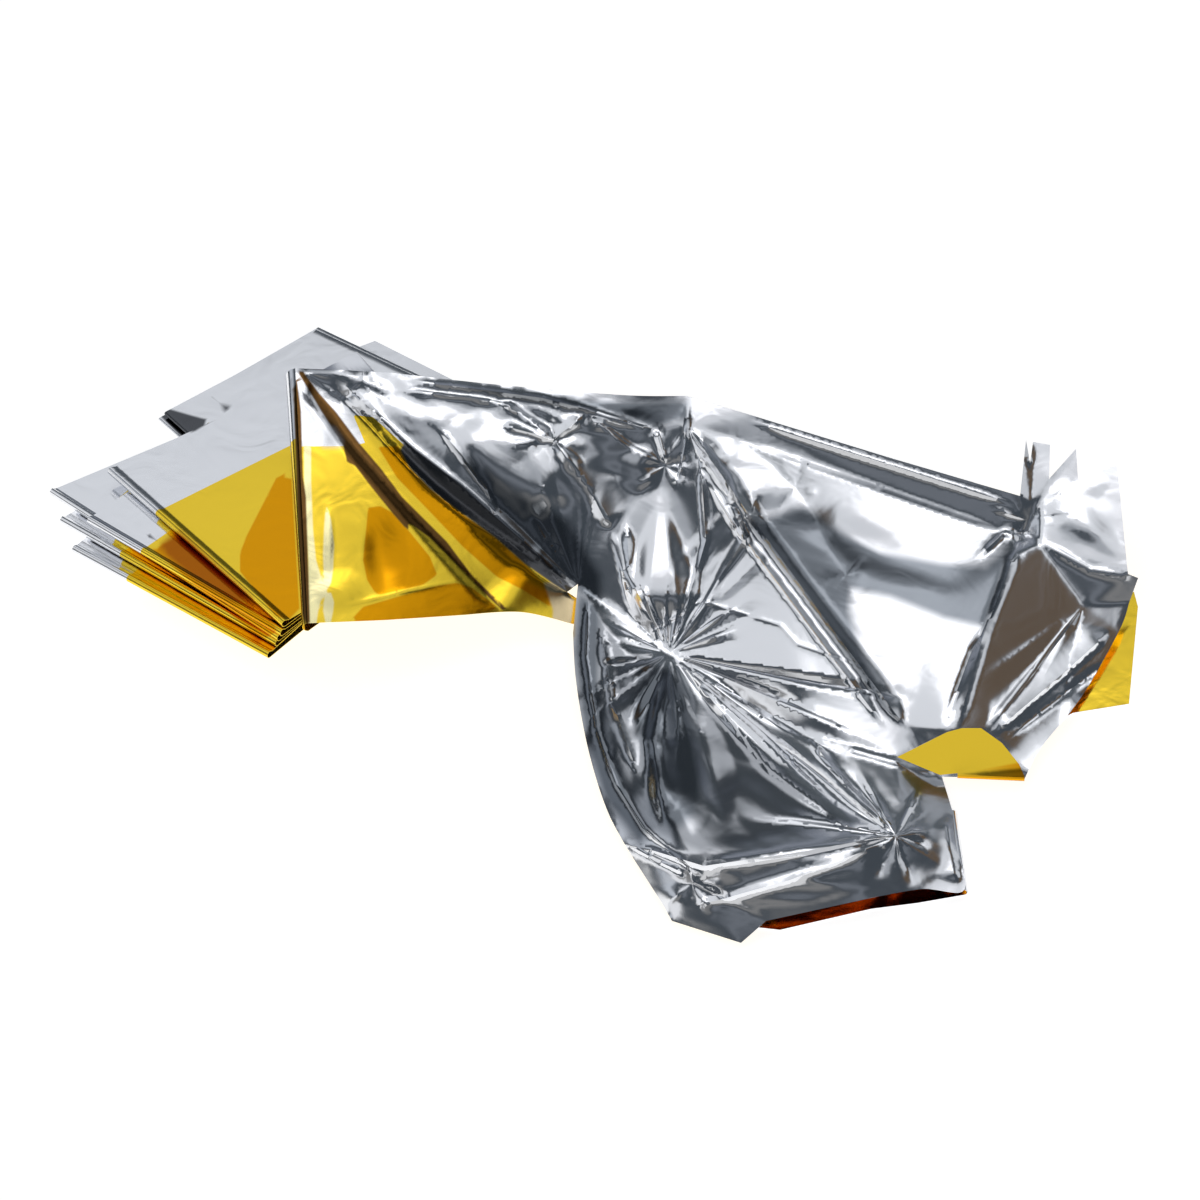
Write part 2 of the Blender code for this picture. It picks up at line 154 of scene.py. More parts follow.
# ---------------------------------------------------------------- open sheet
#  name          u     v     h
CORNERS = {
    # back ridge
    "ridge_a":   (340, 370, 60.0),
    "ridge_b":   (392, 373, 58.0),
    "ridge_c":   (500, 385, 54.0),
    "ridge_d":   (620, 395, 50.0),
    "ridge_e":   (686, 396, 47.0),
    "ridge_f":   (750, 415, 43.0),
    "ridge_g":   (890, 458, 36.0),
    "ridge_h":   (972, 482, 32.5),
    "ridge_i":   (1020, 496, 30.0),
    # ruffle at the right end
    "fin_1":     (1026, 440, 35.0),
    "notch_1":   (1030, 463, 32.5),
    "fin_2":     (1033, 442, 34.0),
    "fin_2b":    (1050, 445, 33.0),
    "notch_2":   (1049, 479, 29.5),
    "fin_3":     (1076, 449, 33.0),
    "notch_3":   (1078, 480, 29.5),
    "flap_top":  (1117, 465, 31.0),
    "flap_low":  (1128, 574, 20.0),
    "corner":    (1138, 578, 17.0),
    "edge_a":    (1129, 603, 11.0),
    "edge_b":    (1119, 631, 8.0),
    "edge_c":    (1082, 696, 5.0),
    "edge_d":    (1041, 748, 4.5),
    "edge_e":    (1024, 780, 3.5),
    # front, from the curl back to the knot
    "curl_root": (957, 777, 4.0),
    "curl_fold": (942, 777, 4.0),
    "seam_a":    (895, 759, 10.0),
    "seam_b":    (810, 736, 11.0),
    "seam_c":    (740, 697, 9.0),
    "knot":      (669, 654, 10.0),
    "slit":      (578, 584, 16.0),
    "tab_a":     (567, 592, 10.5),
    "tab_b":     (590, 607, 8.0),
    "tab_c":     (593, 622, 7.0),
    "front_a":   (573, 624, 8.0),
    "front_b":   (521, 612, 14.0),
    "front_c":   (462, 615, 20.0),
    "front_d":   (385, 620, 27.0),
    # creases of the gold page
    "gold_a":    (350, 400, 53.5),
    "gold_b":    (420, 484, 40.0),
    "gold_c":    (504, 556, 22.7),
    "band_a":    (401, 447, 50.0),
    "band_b":    (490, 528, 31.0),
    # left part of the silver sheet
    "left_a":    (434, 421, 52.0),
    "left_b":    (489, 493, 38.0),
    "left_c":    (554, 439, 45.0),
    "left_d":    (586, 414, 49.0),
    "left_e":    (607, 521, 28.0),
    "left_f":    (540, 470, 40.5),
    # middle
    "mid_a":     (655, 429, 43.0),
    "mid_b":     (687, 425, 44.0),
    "mid_c":     (665, 466, 35.0),
    "mid_d":     (679, 486, 32.0),
    "mid_e":     (628, 518, 28.5),
    "mid_f":     (631, 578, 20.0),
    "mid_g":     (659, 545, 24.0),
    "mid_h":     (737, 503, 33.0),
    "mid_i":     (744, 541, 26.0),
    "mid_j":     (700, 560, 20.0),
    # right panel
    "pan_a":     (740, 440, 39.0),
    "pan_b":     (880, 489, 27.5),
    "pan_c":     (1009, 534, 22.0),
    "pan_d":     (796, 487, 34.0),
    "pan_e":     (846, 576, 24.0),
    "pan_f":     (786, 610, 19.0),
    "pan_g":     (907, 727, 12.0),
    "pan_h":     (857, 731, 12.0),
    "pan_i":     (947, 731, 15.0),
    "pan_j":     (984, 633, 20.0),
    "pan_k":     (920, 610, 20.0),
    # right end
    "end_a":     (1030, 503, 27.0),
    "end_b":     (1026, 533, 19.0),
    "end_c":     (1041, 498, 27.0),
    "end_d":     (1040, 543, 23.0),
    "end_e":     (1016, 555, 24.0),
    "end_f":     (1083, 605, 13.0),
    "end_g":     (984, 731, 12.0),
    "end_h":     (1035, 672, 11.0),
    # lower flap, edge then creases
    "low_a":     (573, 633, 12.0),
    "low_b":     (576, 681, 9.0),
    "low_c":     (587, 744, 6.0),
    "low_d":     (604, 802, 4.5),
    "low_e":     (623, 841, 3.5),
    "low_f":     (660, 900, 2.8),
    "low_g":     (672, 921, 2.6),
    "low_h":     (741, 943, 2.6),
    "low_i":     (766, 921, 6.0),
    "low_j":     (871, 898, 8.0),
    "low_k":     (923, 889, 6.0),
    "low_l":     (964, 890, 4.0),
    "low_m":     (956, 846, 6.0),
    "low_n":     (952, 810, 5.0),
    "fold_a":    (632, 668, 15.0),
    "fold_b":    (640, 770, 14.0),
    "fold_c":    (704, 865, 20.0),
    "fold_d":    (800, 850, 20.0),
    "fold_e":    (896, 836, 14.0),
    "fold_f":    (720, 760, 10.0),
    "fold_g":    (790, 770, 10.0),
    "fold_h":    (860, 800, 12.0),
    "fold_i":    (686, 878, 13.0),
    "fold_j":    (700, 700, 9.0),
}

SHEET_EDGE = ["ridge_a", "ridge_b", "ridge_c", "ridge_d", "ridge_e", "ridge_f",
              "ridge_g", "ridge_h", "ridge_i", "fin_1", "notch_1", "fin_2",
              "fin_2b", "notch_2", "fin_3", "notch_3", "flap_top", "flap_low",
              "corner", "edge_a", "edge_b", "edge_c", "edge_d", "edge_e",
              "curl_root", "curl_fold", "seam_a", "seam_b", "seam_c", "knot",
              "slit", "tab_a", "tab_b", "tab_c", "front_a", "front_b",
              "front_c", "front_d"]
LOWER_EDGE = ["slit", "knot", "seam_c", "seam_b", "seam_a", "curl_fold",
              "low_n", "low_m", "low_l", "low_k", "low_j", "low_i", "low_h",
              "low_g", "low_f", "low_e", "low_d", "low_c", "low_b", "low_a"]

# Creases, a row for each: how sharp it is, then the corners it runs through.
SHEET_CREASES = [
    (0.8, "gold_a", "gold_b", "gold_c", "front_b"),
    (0.8, "ridge_a", "band_a", "band_b", "slit"),
    (0.5, "ridge_b", "left_a", "left_b", "slit"),
    (0.5, "left_a", "left_f", "left_e"),
    (0.5, "ridge_c", "left_c", "left_e"),
    (0.5, "left_d", "left_c"), (0.4, "left_d", "mid_a"),
    (0.7, "left_e", "mid_e", "mid_f", "knot"),
    (0.5, "mid_a", "mid_c", "mid_e"), (0.5, "mid_c", "mid_d", "mid_g", "knot"),
    (0.6, "ridge_e", "mid_b", "mid_c"), (0.7, "mid_a", "mid_b", "pan_a"),
    (0.9, "mid_b", "mid_h", "mid_i", "mid_j", "knot"),
    (1.0, "pan_a", "pan_b", "pan_c", "end_b"),
    (0.6, "pan_a", "pan_d", "pan_e", "pan_g"), (0.5, "mid_h", "pan_d"),
    (0.3, "mid_i", "pan_e"), (0.3, "pan_f", "pan_h"),
    (0.2, "pan_e", "pan_k", "pan_j"),
    (0.6, "pan_h", "pan_g", "pan_i"), (0.6, "seam_b", "pan_h"),
    (0.7, "pan_c", "end_e", "pan_j", "pan_i"),
    (0.8, "ridge_i", "end_a", "end_b", "end_d"), (0.8, "end_a", "end_c"),
    (1.0, "fin_1", "end_a"), (1.0, "notch_1", "end_a"), (1.0, "fin_2", "end_a"),
    (1.0, "end_c", "notch_2"), (1.0, "end_c", "notch_3"), (1.0, "end_c", "fin_3"),
    (0.9, "end_c", "end_d", "flap_low"),
    (0.9, "end_e", "end_d", "end_f", "edge_a"),
    (0.8, "end_f", "end_h", "end_g", "pan_i"), (0.4, "end_g", "edge_c"),
    (0.7, "end_f", "edge_b"),
]
LOWER_CREASES = [
    (0.6, "slit", "fold_a", "knot"), (0.2, "low_b", "fold_a", "fold_b", "fold_c"),
    (0.4, "knot", "fold_j", "fold_f", "fold_d"),
    (0.4, "knot", "fold_g", "fold_h", "fold_e"),
    (0.2, "fold_j", "fold_b"), (0.7, "low_e", "fold_c", "fold_d", "fold_e"),
    (0.6, "fold_e", "low_m"), (0.6, "fold_e", "low_k"),
    (0.7, "low_e", "fold_i", "low_i"),
    (0.4, "fold_e", "seam_a"),
]

UNDER = {
    "under_a":   (918, 903, 0.5),
    "under_b":   (871, 909, 0.5),
    "under_c":   (780, 930, 0.5),
    "under_d":   (735, 925, 0.5),
    "under_e":   (690, 830, 0.5),
    "under_f":   (760, 730, 0.5),
    "under_g":   (900, 690, 0.5),
    "under_h":   (1040, 640, 0.5),
    "under_i":   (1090, 600, 0.5),
    "under_j":   (1134, 592, 0.5),
    "under_k":   (1138, 607, 0.5),
    "under_l":   (1129, 704, 0.5),
    "under_m":   (1073, 713, 0.5),
    "under_n":   (1010, 745, 0.5),
    "under_o":   (936, 768, 0.5),
}
UNDER_JOIN = ["low_n", "low_m", "low_l"]
UNDER_EDGE = ["under_a", "under_b", "under_c", "under_d", "under_e", "under_f",
              "under_g", "under_h", "under_i", "under_j", "under_k", "under_l",
              "under_m", "under_n", "under_o"]
UNDER_LEVEL = 0.5

CURL = {
    "curl_a":    (1019, 764, 10.0),
    "curl_b":    (1002, 743, 17.0),
    "curl_c":    (981, 728, 22.5),
    "curl_d":    (962, 728, 24.0),
    "curl_e":    (947, 732, 24.0),
    "curl_f":    (897, 757, 12.2),
    "curl_g":    (940, 775, 8.6),
}
CURL_JOIN = ["curl_root", "edge_e"]
CURL_EDGE = ["curl_a", "curl_b", "curl_c", "curl_d", "curl_e", "curl_f", "curl_g"]
CURL_RISE = 2.6

#  ridge corner  u     v     h
APRON = [
    ("ridge_e",  690,  431, 0.6),
    ("ridge_f",  756,  447, 0.6),
    ("ridge_g",  893,  482, 0.6),
    ("ridge_h",  972,  502, 0.6),
]
APRON_STEPS = 2


# ---------------------------------------------------------------- building
class Sheet:
    """The middle surface's control mesh, welded by position."""

    def __init__(self):
        self.mesh = bmesh.new()
        self.seen = {}
        self.crease = self.mesh.edges.layers.float.new("crease_edge")
        self.point = self.mesh.verts.layers.float.new("crease_vert")
        self.part = 0

    def vert(self, p):
        key = (round(p.x, 6), round(p.y, 6), round(p.z, 6))
        if key not in self.seen:
            self.seen[key] = self.mesh.verts.new(p)
        return self.seen[key]

    def face(self, points):
        vs = []
        for p in points:
            v = self.vert(p)
            if v not in vs:
                vs.append(v)
        if len(vs) > 2 and self.mesh.faces.get(vs) is None:
            self.mesh.faces.new(vs).material_index = self.part

    def strip(self, one, two):
        for k in range(len(one) - 1):
            self.face([one[k], two[k], two[k + 1], one[k + 1]])

    def sharpen(self, points, amount):
        for a, b in zip(points[:-1], points[1:]):
            e = self.mesh.edges.get((self.vert(a), self.vert(b)))
            if e is not None:
                e[self.crease] = amount

    def patch(self, rim, creases):
        spots = list(rim)
        edges = []

        def index(spot):
            for i, other in enumerate(spots):
                if abs(other[0] - spot[0]) + abs(other[1] - spot[1]) < 0.01:
                    return i
            spots.append(spot)
            return len(spots) - 1

        for sharp, crease in creases:
            ids = [index(s) for s in crease]
            edges.extend(zip(ids[:-1], ids[1:]))
        flat = [Vector((s[0], -s[1])) for s in spots]
        out = delaunay_2d_cdt(flat, edges, [list(range(len(rim)))], 1, 1e-4)
        verts, faces, origin = out[0], out[2], out[3]
        for f in faces:
            pts = []
            for i in f:
                if not origin[i]:
                    raise ValueError("creases cross away from a corner near %s"
                                     % (tuple(verts[i]),))
                pts.append(spots[origin[i][0]][2])
            self.face(pts)
        for sharp, crease in creases:
            self.sharpen([s[2] for s in crease], sharp)


def corner(name):
    for table in (CORNERS, UNDER, CURL):
        if name in table:
            u, v, h = table[name]
            return (u, v, place(u, v, h))
    raise KeyError(name)


def bend(low, high, away):
    rows = []
    for k in range(STEPS_BEND + 1):
        turn = math.radians(-90.0 + 180.0 * k / STEPS_BEND)
        row = []
        for a, b, out in zip(low, high, away):
            mid = (a + b) * 0.5
            up = (b - a) * 0.5
            row.append(mid + up * math.sin(turn)
                       + out * (up.length * math.cos(turn)))
        rows.append(row)
    rows[0], rows[-1] = list(low), list(high)
    return rows


def control_mesh():
    """The plain sheet, rounded: a surface to read heights from, part by part."""
    sheet = Sheet()
    last = pack_rings()[-1]
    rim = [chart(p) + (p,) for p in reversed(last)]
    rim += [corner(n) for n in SHEET_EDGE]
    creases = [(row[0], [corner(n) for n in row[1:]]) for row in SHEET_CREASES]
    creases[0] = (creases[0][0], [rim[len(last) - 1]] + creases[0][1])
    sheet.part = 0
    sheet.patch(rim, creases)
    rim = [corner(n) for n in LOWER_EDGE]
    sheet.part = 1
    sheet.patch(rim, [(row[0], [corner(n) for n in row[1:]])
                      for row in LOWER_CREASES])
    bm = sheet.mesh
    for e in bm.edges:
        kinds = {f.material_index for f in e.link_faces}
        if e.is_boundary or len(kinds) > 1:
            e[sheet.crease] = 1.0
            for v in e.verts:
                v[sheet.point] = 1.0
    mesh = bpy.data.meshes.new("control")
    bm.to_mesh(mesh)
    bm.free()
    obj = bpy.data.objects.new("control", mesh)
    bpy.context.scene.collection.objects.link(obj)
    sub = obj.modifiers.new("fine", "SUBSURF")
    sub.levels = sub.render_levels = 3
    bpy.context.view_layer.update()
    out = obj.evaluated_get(bpy.context.evaluated_depsgraph_get()).to_mesh()
    points = [v.co.copy() for v in out.vertices]
    parts = {}
    for name, k in (("upper", 0), ("lower", 1)):
        faces = [tuple(p.vertices) for p in out.polygons if p.material_index == k]
        parts[name] = BVHTree.FromPolygons(points, faces, epsilon=0.0)
    bpy.data.objects.remove(obj)
    bpy.data.meshes.remove(mesh)
    return points, parts


# ---------------------------------------------------------------- the looks
# All places below are chart places (u to the right, v down) and all rises are
# in millimetres above the plain sheet.

GRID = 3.3   # distance between mesh points on the chart

# Creases: rise of the crest (a minus is a trough), how far its side on the
# left and on the right of the way along it reaches, how much of the length
# each end fades over, then the places it runs through.
#   rise left right fade  places
CREASES = [
    (-1.3, 90, 13, 0.10, (299, 371), (356, 447), (420, 520), (504, 612)),
    (0.9,  6, 16, 0.10, (340, 380), (377, 415), (413, 448), (463, 487),
     (518, 537), (575, 592)),
    (0.15, 4,  4, 0.30, (340, 607), (397, 593), (457, 581)),
    (0.5,  4, 60, 0.10, (300, 374), (375, 375)),
    # dark sheet
    (1.0, 10,  5, 0.25, (434, 423), (462, 455), (487, 490), (496, 514)),
    (2.4, 60, 50, 0.25, (443, 430), (500, 462), (539, 480), (572, 508)),
    (1.2,  5,  8, 0.15, (400, 381), (453, 386), (542, 398), (578, 407), (649, 429)),
    (0.9,  4,  6, 0.25, (400, 391), (471, 398), (514, 407)),
    (1.6,  7, 14, 0.15, (586, 414), (554, 439), (500, 425)),
    (1.7, 30, 12, 0.12, (554, 439), (590, 490), (612, 530)),
    (0.8,  6,  6, 0.15, (612, 530), (640, 630)),
    (1.2,  6, 30, 0.20, (586, 414), (625, 445), (662, 464)),
    (0.7,  5, 12, 0.20, (586, 414), (620, 424), (655, 429)),
    (1.5, 10,  8, 0.20, (500, 400), (554, 439)),
    # middle
    (0.8,  5,  5, 0.25, (688, 400), (686, 440), (678, 484)),
    (1.6,  7,  6, 0.20, (655, 429), (666, 464)),
    (1.6, 10, 12, 0.20, (626, 518), (630, 578), (662, 640)),
    (3.8, 100, 34, 0.36, (620, 588), (661, 594), (702, 588)),
    (1.4,  8,  9, 0.15, (687, 427), (725, 480), (744, 539), (675, 648)),
    (1.2,  9,  6, 0.25, (700, 450), (706, 540), (678, 636)),
    (0.25, 3,  3, 0.20, (640, 640), (701, 601), (780, 625), (797, 644), (872, 669)),
    # right panel
    (2.4, 16,  8, 0.08, (689, 428), (736, 496), (820, 612), (907, 729)),
    (1.4,  9,  5, 0.15, (700, 470), (750, 545), (886, 729)),
    (1.5,  8,  8, 0.12, (1018, 545), (984, 633), (957, 728)),
    (-1.0, 7,  6, 0.30, (1000, 600), (972, 650), (943, 728)),
    (1.3,  6,  6, 0.30, (975, 560), (1004, 533), (1034, 540)),
    (0.9,  4,  5, 0.15, (745, 420), (890, 465), (1018, 506)),
    (0.5,  5,  5, 0.15, (740, 440), (880, 488), (1009, 533)),
    (-1.2, 34, 30, 0.40, (768, 522), (835, 530), (900, 560), (970, 590)),
    # right end
    (0.7,  6,  5, 0.15, (1083, 606), (1035, 668), (984, 731)),
    (2.2,  7, 30, 0.15, (1112, 630), (1060, 676), (992, 734)),
    (1.6,  8, 28, 0.15, (1086, 694), (1043, 749), (1022, 784)),
    (-1.0, 6,  8, 0.20, (1110, 660), (1050, 705), (1004, 740)),
    (0.9,  6, 10, 0.30, (1036, 540), (1090, 570), (1134, 578)),
    (0.6, 20, 16, 0.30, (1040, 500), (1080, 520), (1124, 560)),
    (0.4, 16, 16, 0.30, (1040, 497), (1080, 490), (1112, 480)),
    # lower flap
    (0.7,  3,  4, 0.10, (588, 592), (585, 657), (596, 730), (616, 785),
     (645, 829), (701, 880)),
    (1.0,  6,  5, 0.20, (623, 842), (660, 862), (690, 876)),
    (1.6,  7,  9, 0.15, (892, 835), (800, 852), (704, 866), (628, 843)),
    (1.3,  6, 10, 0.20, (892, 840), (790, 880), (690, 908)),
    (2.6, 26, 14, 0.25, (671, 664), (655, 740), (664, 830)),
    (-2.0, 24, 20, 0.30, (675, 662), (705, 740), (730, 830)),
    (2.0, 12,  8, 0.15, (676, 658), (790, 745), (892, 832)),
    (1.6, 16, 10, 0.25, (680, 662), (770, 770), (850, 830)),
    (1.6,  8,  7, 0.15, (810, 739), (850, 790), (894, 833)),
    (1.3,  8,  8, 0.20, (600, 620), (612, 700), (640, 780)),
    (1.0,  5,  6, 0.10, (810, 738), (860, 752), (940, 775)),
    (2.0,  6, 34, 0.20, (950, 812), (958, 850), (962, 886)),
]

# Fans: zigzag folds that spread from a pinch. Place of the pinch, first and
# last way (degrees, clockwise from the right), reach, rise and number of folds.
#   u     v    from   to  reach rise folds
FANS = [
    (669, 654, -122, -62,  86, 1.8, 8),
    (669, 654,  -62,  -8, 115, 2.0, 7),
    (669, 654,    8,  46, 260, 4.2, 8),
    (669, 654,   46, 175, 140, 3.0, 9),
    (669, 654,  188, 230, 100, 1.6, 5),
    (578, 586, -152, -126, 290, 1.3, 3),
    (578, 586, -126,  -75, 180, 1.6, 5),
    (896, 836,    0, 360,  62, 2.0, 14),
    (896, 836,  163, 196, 215, 2.6, 4),
    (896, 836,  206, 248, 125, 1.8, 4),
    (1029, 518, -45,  22, 105, 0.4, 4),
    (1083, 606,   98, 148, 150, 1.0, 4),
    (687, 425,    40, 125,  75, 1.6, 6),
    (665, 466,     0, 360,  46, 1.5, 9),
    (554, 439,     0, 360,  62, 1.4, 7),
    (752, 514,     0, 360,  38, 0.6, 7),
    (796, 487,     0, 360,  40, 0.5, 7),
    (846, 576,     0, 360,  34, 0.5, 5),
    (300, 371,    14,  62, 110, 0.6, 4),
    (692, 884,     0, 360,  44, 1.3, 9),
    (1026, 520,   90, 250,  44, 1.1, 5),
    (362, 384,     0, 360,  48, 1.0, 7),
]

# Crumpled places: middle, half sizes, way of the streaks, rise and size.
#   u    v    wide high turn rise size
CRUMPLED = [
    (490, 440, 120, 45,  38, 0.5, 34),
    (520, 405, 130, 22,   6, 0.6, 20),
    (620, 440,  60, 40,  10, 0.6, 26),
    (800, 880, 110, 24,  -8, 0.5, 26),
    (720, 560,  60, 40, -50, 0.8, 30),
    (840, 550, 130, 45,  22, 0.4, 44),
    (740, 470,  45, 35,   0, 0.5, 26),
    (760, 760, 170, 75,  32, 1.2, 46),
    (630, 740,  70, 45,  80, 0.9, 36),
    (700, 890,  60, 35,  20, 0.5, 20),
    (390, 400,  60, 26,  25, 0.6, 26),
    (900, 830,  60, 60,  90, 0.5, 26),
]

# Bulges and dishes: middle, half sizes, turn and rise.
#   u    v    wide high turn  rise
BULGES = [
    (328, 540,   8, 44,   1,  0.35),
    (384, 556,  26, 50,  -6, -0.9),
    (340, 590,  30, 24,   0,  0.5),
    (680, 790,  36, 56,   0,  2.4),
    (780, 800,  60, 35,  20,  1.4),
    (1080, 520, 40, 30,   0,  0.8),
    (640, 470,  26, 26,   0,  1.6),
]

# Painted reflections: places painted dark grey where the film mirrors something
# dark, run round clockwise: slivers on the rear pages, spots on the fan, the band along the
# open page, the border of the flap.
PAINTED_DARK_REFLECTIONS = [
    [(158, 414), (169, 409), (200, 418), (216, 421), (198, 430), (181, 437)],
    [(211, 396), (218, 394), (237, 404), (229, 414), (221, 403)],
    [(300, 366), (318, 360), (306, 371)],
    [(112, 503), (120, 504), (125, 514), (117, 512)],
    [(128, 514), (136, 515), (141, 527), (132, 524)],
    [(144, 527), (152, 530), (157, 541), (148, 537)],
    [(371, 407), (377, 413), (394, 430), (414, 448), (439, 467), (464, 487),
     (491, 512), (519, 537), (544, 558), (561, 575), (576, 592), (575, 598),
     (552, 583), (525, 564), (497, 539), (463, 514), (430, 489), (410, 468),
     (400, 450), (404, 444)],
    [(302, 391), (309, 396), (317, 411), (309, 406), (303, 399)],
]

# Painted shade: wider places painted dark grey, with a soft edge.
PAINTED_SOFT_SHADE = [
    [(450, 440), (478, 462), (512, 490), (547, 507), (570, 522), (600, 575),
     (602, 600), (588, 604), (560, 576), (520, 540), (498, 516), (472, 477)],
    [(470, 388), (560, 396), (640, 401), (690, 399), (690, 420), (655, 427),
     (600, 412), (520, 401)],
    [(577, 592), (602, 604), (600, 680), (612, 740), (634, 800), (652, 828),
     (640, 846), (604, 800), (582, 730), (572, 650)],
    [(745, 522), (765, 518), (802, 508), (822, 516), (840, 531), (880, 551),
     (940, 562), (985, 566), (1012, 544), (1000, 590), (986, 629), (943, 619),
     (890, 598), (852, 590), (850, 612), (864, 655), (899, 724), (880, 710),
     (800, 590)],
    [(638, 668), (676, 668), (690, 716), (702, 770), (698, 812), (674, 832),
     (650, 815), (644, 760), (632, 706)],
]

# Painted reflections: places painted mid grey where the film mirrors something grey.
PAINTED_GREY_REFLECTIONS = [
    [(325, 427), (333, 429), (341, 441), (340, 446), (324, 446)],
    [(600, 622), (646, 660), (690, 690), (752, 742), (820, 800), (850, 824),
     (780, 836), (700, 852), (650, 830), (618, 780), (604, 720)],
]

# Painted shade: the dark line of the crease across the gold page, and the dark band beside
# the upright fold, both painted dark brown.
PAINTED_CREASE_SHADE = [
    [(297, 371), (303, 371), (318, 392), (336, 412), (359, 443), (382, 470),
     (402, 497), (423, 518), (447, 542), (473, 577), (490, 593), (509, 611),
     (502, 610), (489, 598), (472, 581), (447, 555), (430, 538), (409, 523),
     (408, 531), (393, 514), (371, 487), (355, 466), (347, 462), (343, 445),
     (321, 411), (315, 401)],
    [(291, 380), (297, 380), (301, 410), (303, 477), (306, 497), (310, 624),
     (303, 624), (297, 497), (294, 410)],
]

# Painted highlights: where the gold is painted pale cream for bright light it
# mirrors: a strip beside the crease of the upright page, and a long dimple.
PAINTED_HIGHLIGHTS = [
    [(304, 446), (311, 446), (311, 480), (313, 530), (316, 560), (322, 580),
     (328, 587), (326, 593), (321, 600), (318, 612), (316, 626), (308, 626),
     (308, 560), (304, 497)],
    [(327, 506), (331, 520), (334, 545), (333, 570), (331, 583), (327, 590),
     (324, 580), (323, 555), (324, 530), (325, 515)],
    [(325, 593), (331, 593), (334, 602), (333, 612), (330, 626), (326, 626),
     (323, 610)],
]

# Painted shade on the gold: places painted dark red, and places painted a darker amber.
PAINTED_RED_SHADE = [[(157, 548), (170, 536), (180, 531), (254, 600), (236, 604), (190, 576)]]
PAINTED_AMBER_SHADE = [
    [(283, 465), (291, 470), (300, 617), (279, 620), (240, 572), (240, 549)],
    [(368, 508), (380, 506), (393, 513), (408, 530), (430, 557), (437, 575),
     (423, 585), (380, 595), (375, 593), (367, 580), (363, 560), (366, 530)],
    [(352, 619), (363, 607), (397, 597), (437, 586), (457, 583), (472, 588),
     (497, 607), (490, 612), (430, 618), (385, 640)],
    [(378, 447), (397, 478), (430, 512), (463, 547), (497, 577), (523, 590),
     (552, 608), (548, 588), (525, 564), (497, 539), (463, 514), (430, 489),
     (410, 468), (398, 446)],
    [(150, 548), (176, 540), (280, 630), (262, 640)],
]

# Painted reflection: where the gold is painted beige for the tint it mirrors from what lies
# by it.
PAINTED_BEIGE_REFLECTION = [[(544, 583), (552, 582), (576, 598), (576, 640), (552, 630), (553, 610)]]

# Places on the gold back: painted dark red shade where it lies deep in shade, painted
# amber shade, and where it is silver.
PAINTED_DEEP_SHADE = [[(735, 946), (780, 905), (871, 885), (960, 880), (968, 900), (875, 916)]]
PAINTED_BACK_AMBER_SHADE = [[(944, 779), (1015, 762), (1026, 764), (1026, 790), (944, 790)]]
PALE = [[(300, 335), (420, 335), (420, 378), (300, 374)]]

# Where the film meets another part of the sheet the looks die out: a line on
# the chart and the distance over which they do.
JOINS = [
    ((296, 376), (308, 627), 14.0),
    ((686, 396), (972, 482), 5.0),
    ((952, 810), (964, 890), 8.0),
    ((957, 777), (1024, 780), 8.0),
    ((1026, 440), (1078, 480), 12.0),
]


def to_line(u, v, a, b):
    """Distance from a straight piece of the chart, and how far along it."""
    dx, dy = b[0] - a[0], b[1] - a[1]
    size = dx * dx + dy * dy
    t = np.clip(((u - a[0]) * dx + (v - a[1]) * dy) / size, 0.0, 1.0)
    return np.hypot(u - a[0] - t * dx, v - a[1] - t * dy), t


def smooth_step(x):
    x = np.clip(x, 0.0, 1.0)
    return x * x * (3.0 - 2.0 * x)


def along_line(u, v, places):
    """Signed distance from a bent line (right of the way along it is above
    zero) and the share of its length at the nearest place."""
    runs = [math.hypot(b[0] - a[0], b[1] - a[1])
            for a, b in zip(places[:-1], places[1:])]
    near = np.full(len(u), 1e9)
    side = np.zeros(len(u))
    share = np.zeros(len(u))
    done = 0.0
    for a, b, run in zip(places[:-1], places[1:], runs):
        d, t = to_line(u, v, a, b)
        s = (v - a[1]) * (b[0] - a[0]) - (u - a[0]) * (b[1] - a[1])
        new = d < near
        near = np.where(new, d, near)
        side = np.where(new, np.where(s < 0.0, -1.0, 1.0), side)
        share = np.where(new, (done + t * run) / sum(runs), share)
        done += run
    return near * side, share


def fan_folds(fan, number):
    """Each fold of a fan: its first way, crest, last way, reach and rise."""
    u, v, first, last, reach, rise, folds = fan
    full = abs(last - first) > 359.0
    out = []
    cuts = [first + (last - first) * (k + (0.0 if k in (0, folds) and not full
                                           else 0.26 * math.sin(2.4 * k + number)))
            / folds for k in range(folds)]
    cuts.append(cuts[0] + 360.0 if full else last)
    for k in range(folds):
        crest = cuts[k] + (cuts[k + 1] - cuts[k]) * (0.5 + 0.22 * math.sin(3.1 * k + number))
        far = reach * (0.80 + 0.20 * math.sin(1.9 * k + 0.7 * number))
        high = rise * (0.72 + 0.28 * math.sin(2.7 * k + 1.3 * number))
        out.append((cuts[k], crest, cuts[k + 1], far, high if k % 2 else -high))
    return out


ALL_FANS = [(fan, fan_folds(fan, i)) for i, fan in enumerate(FANS)]


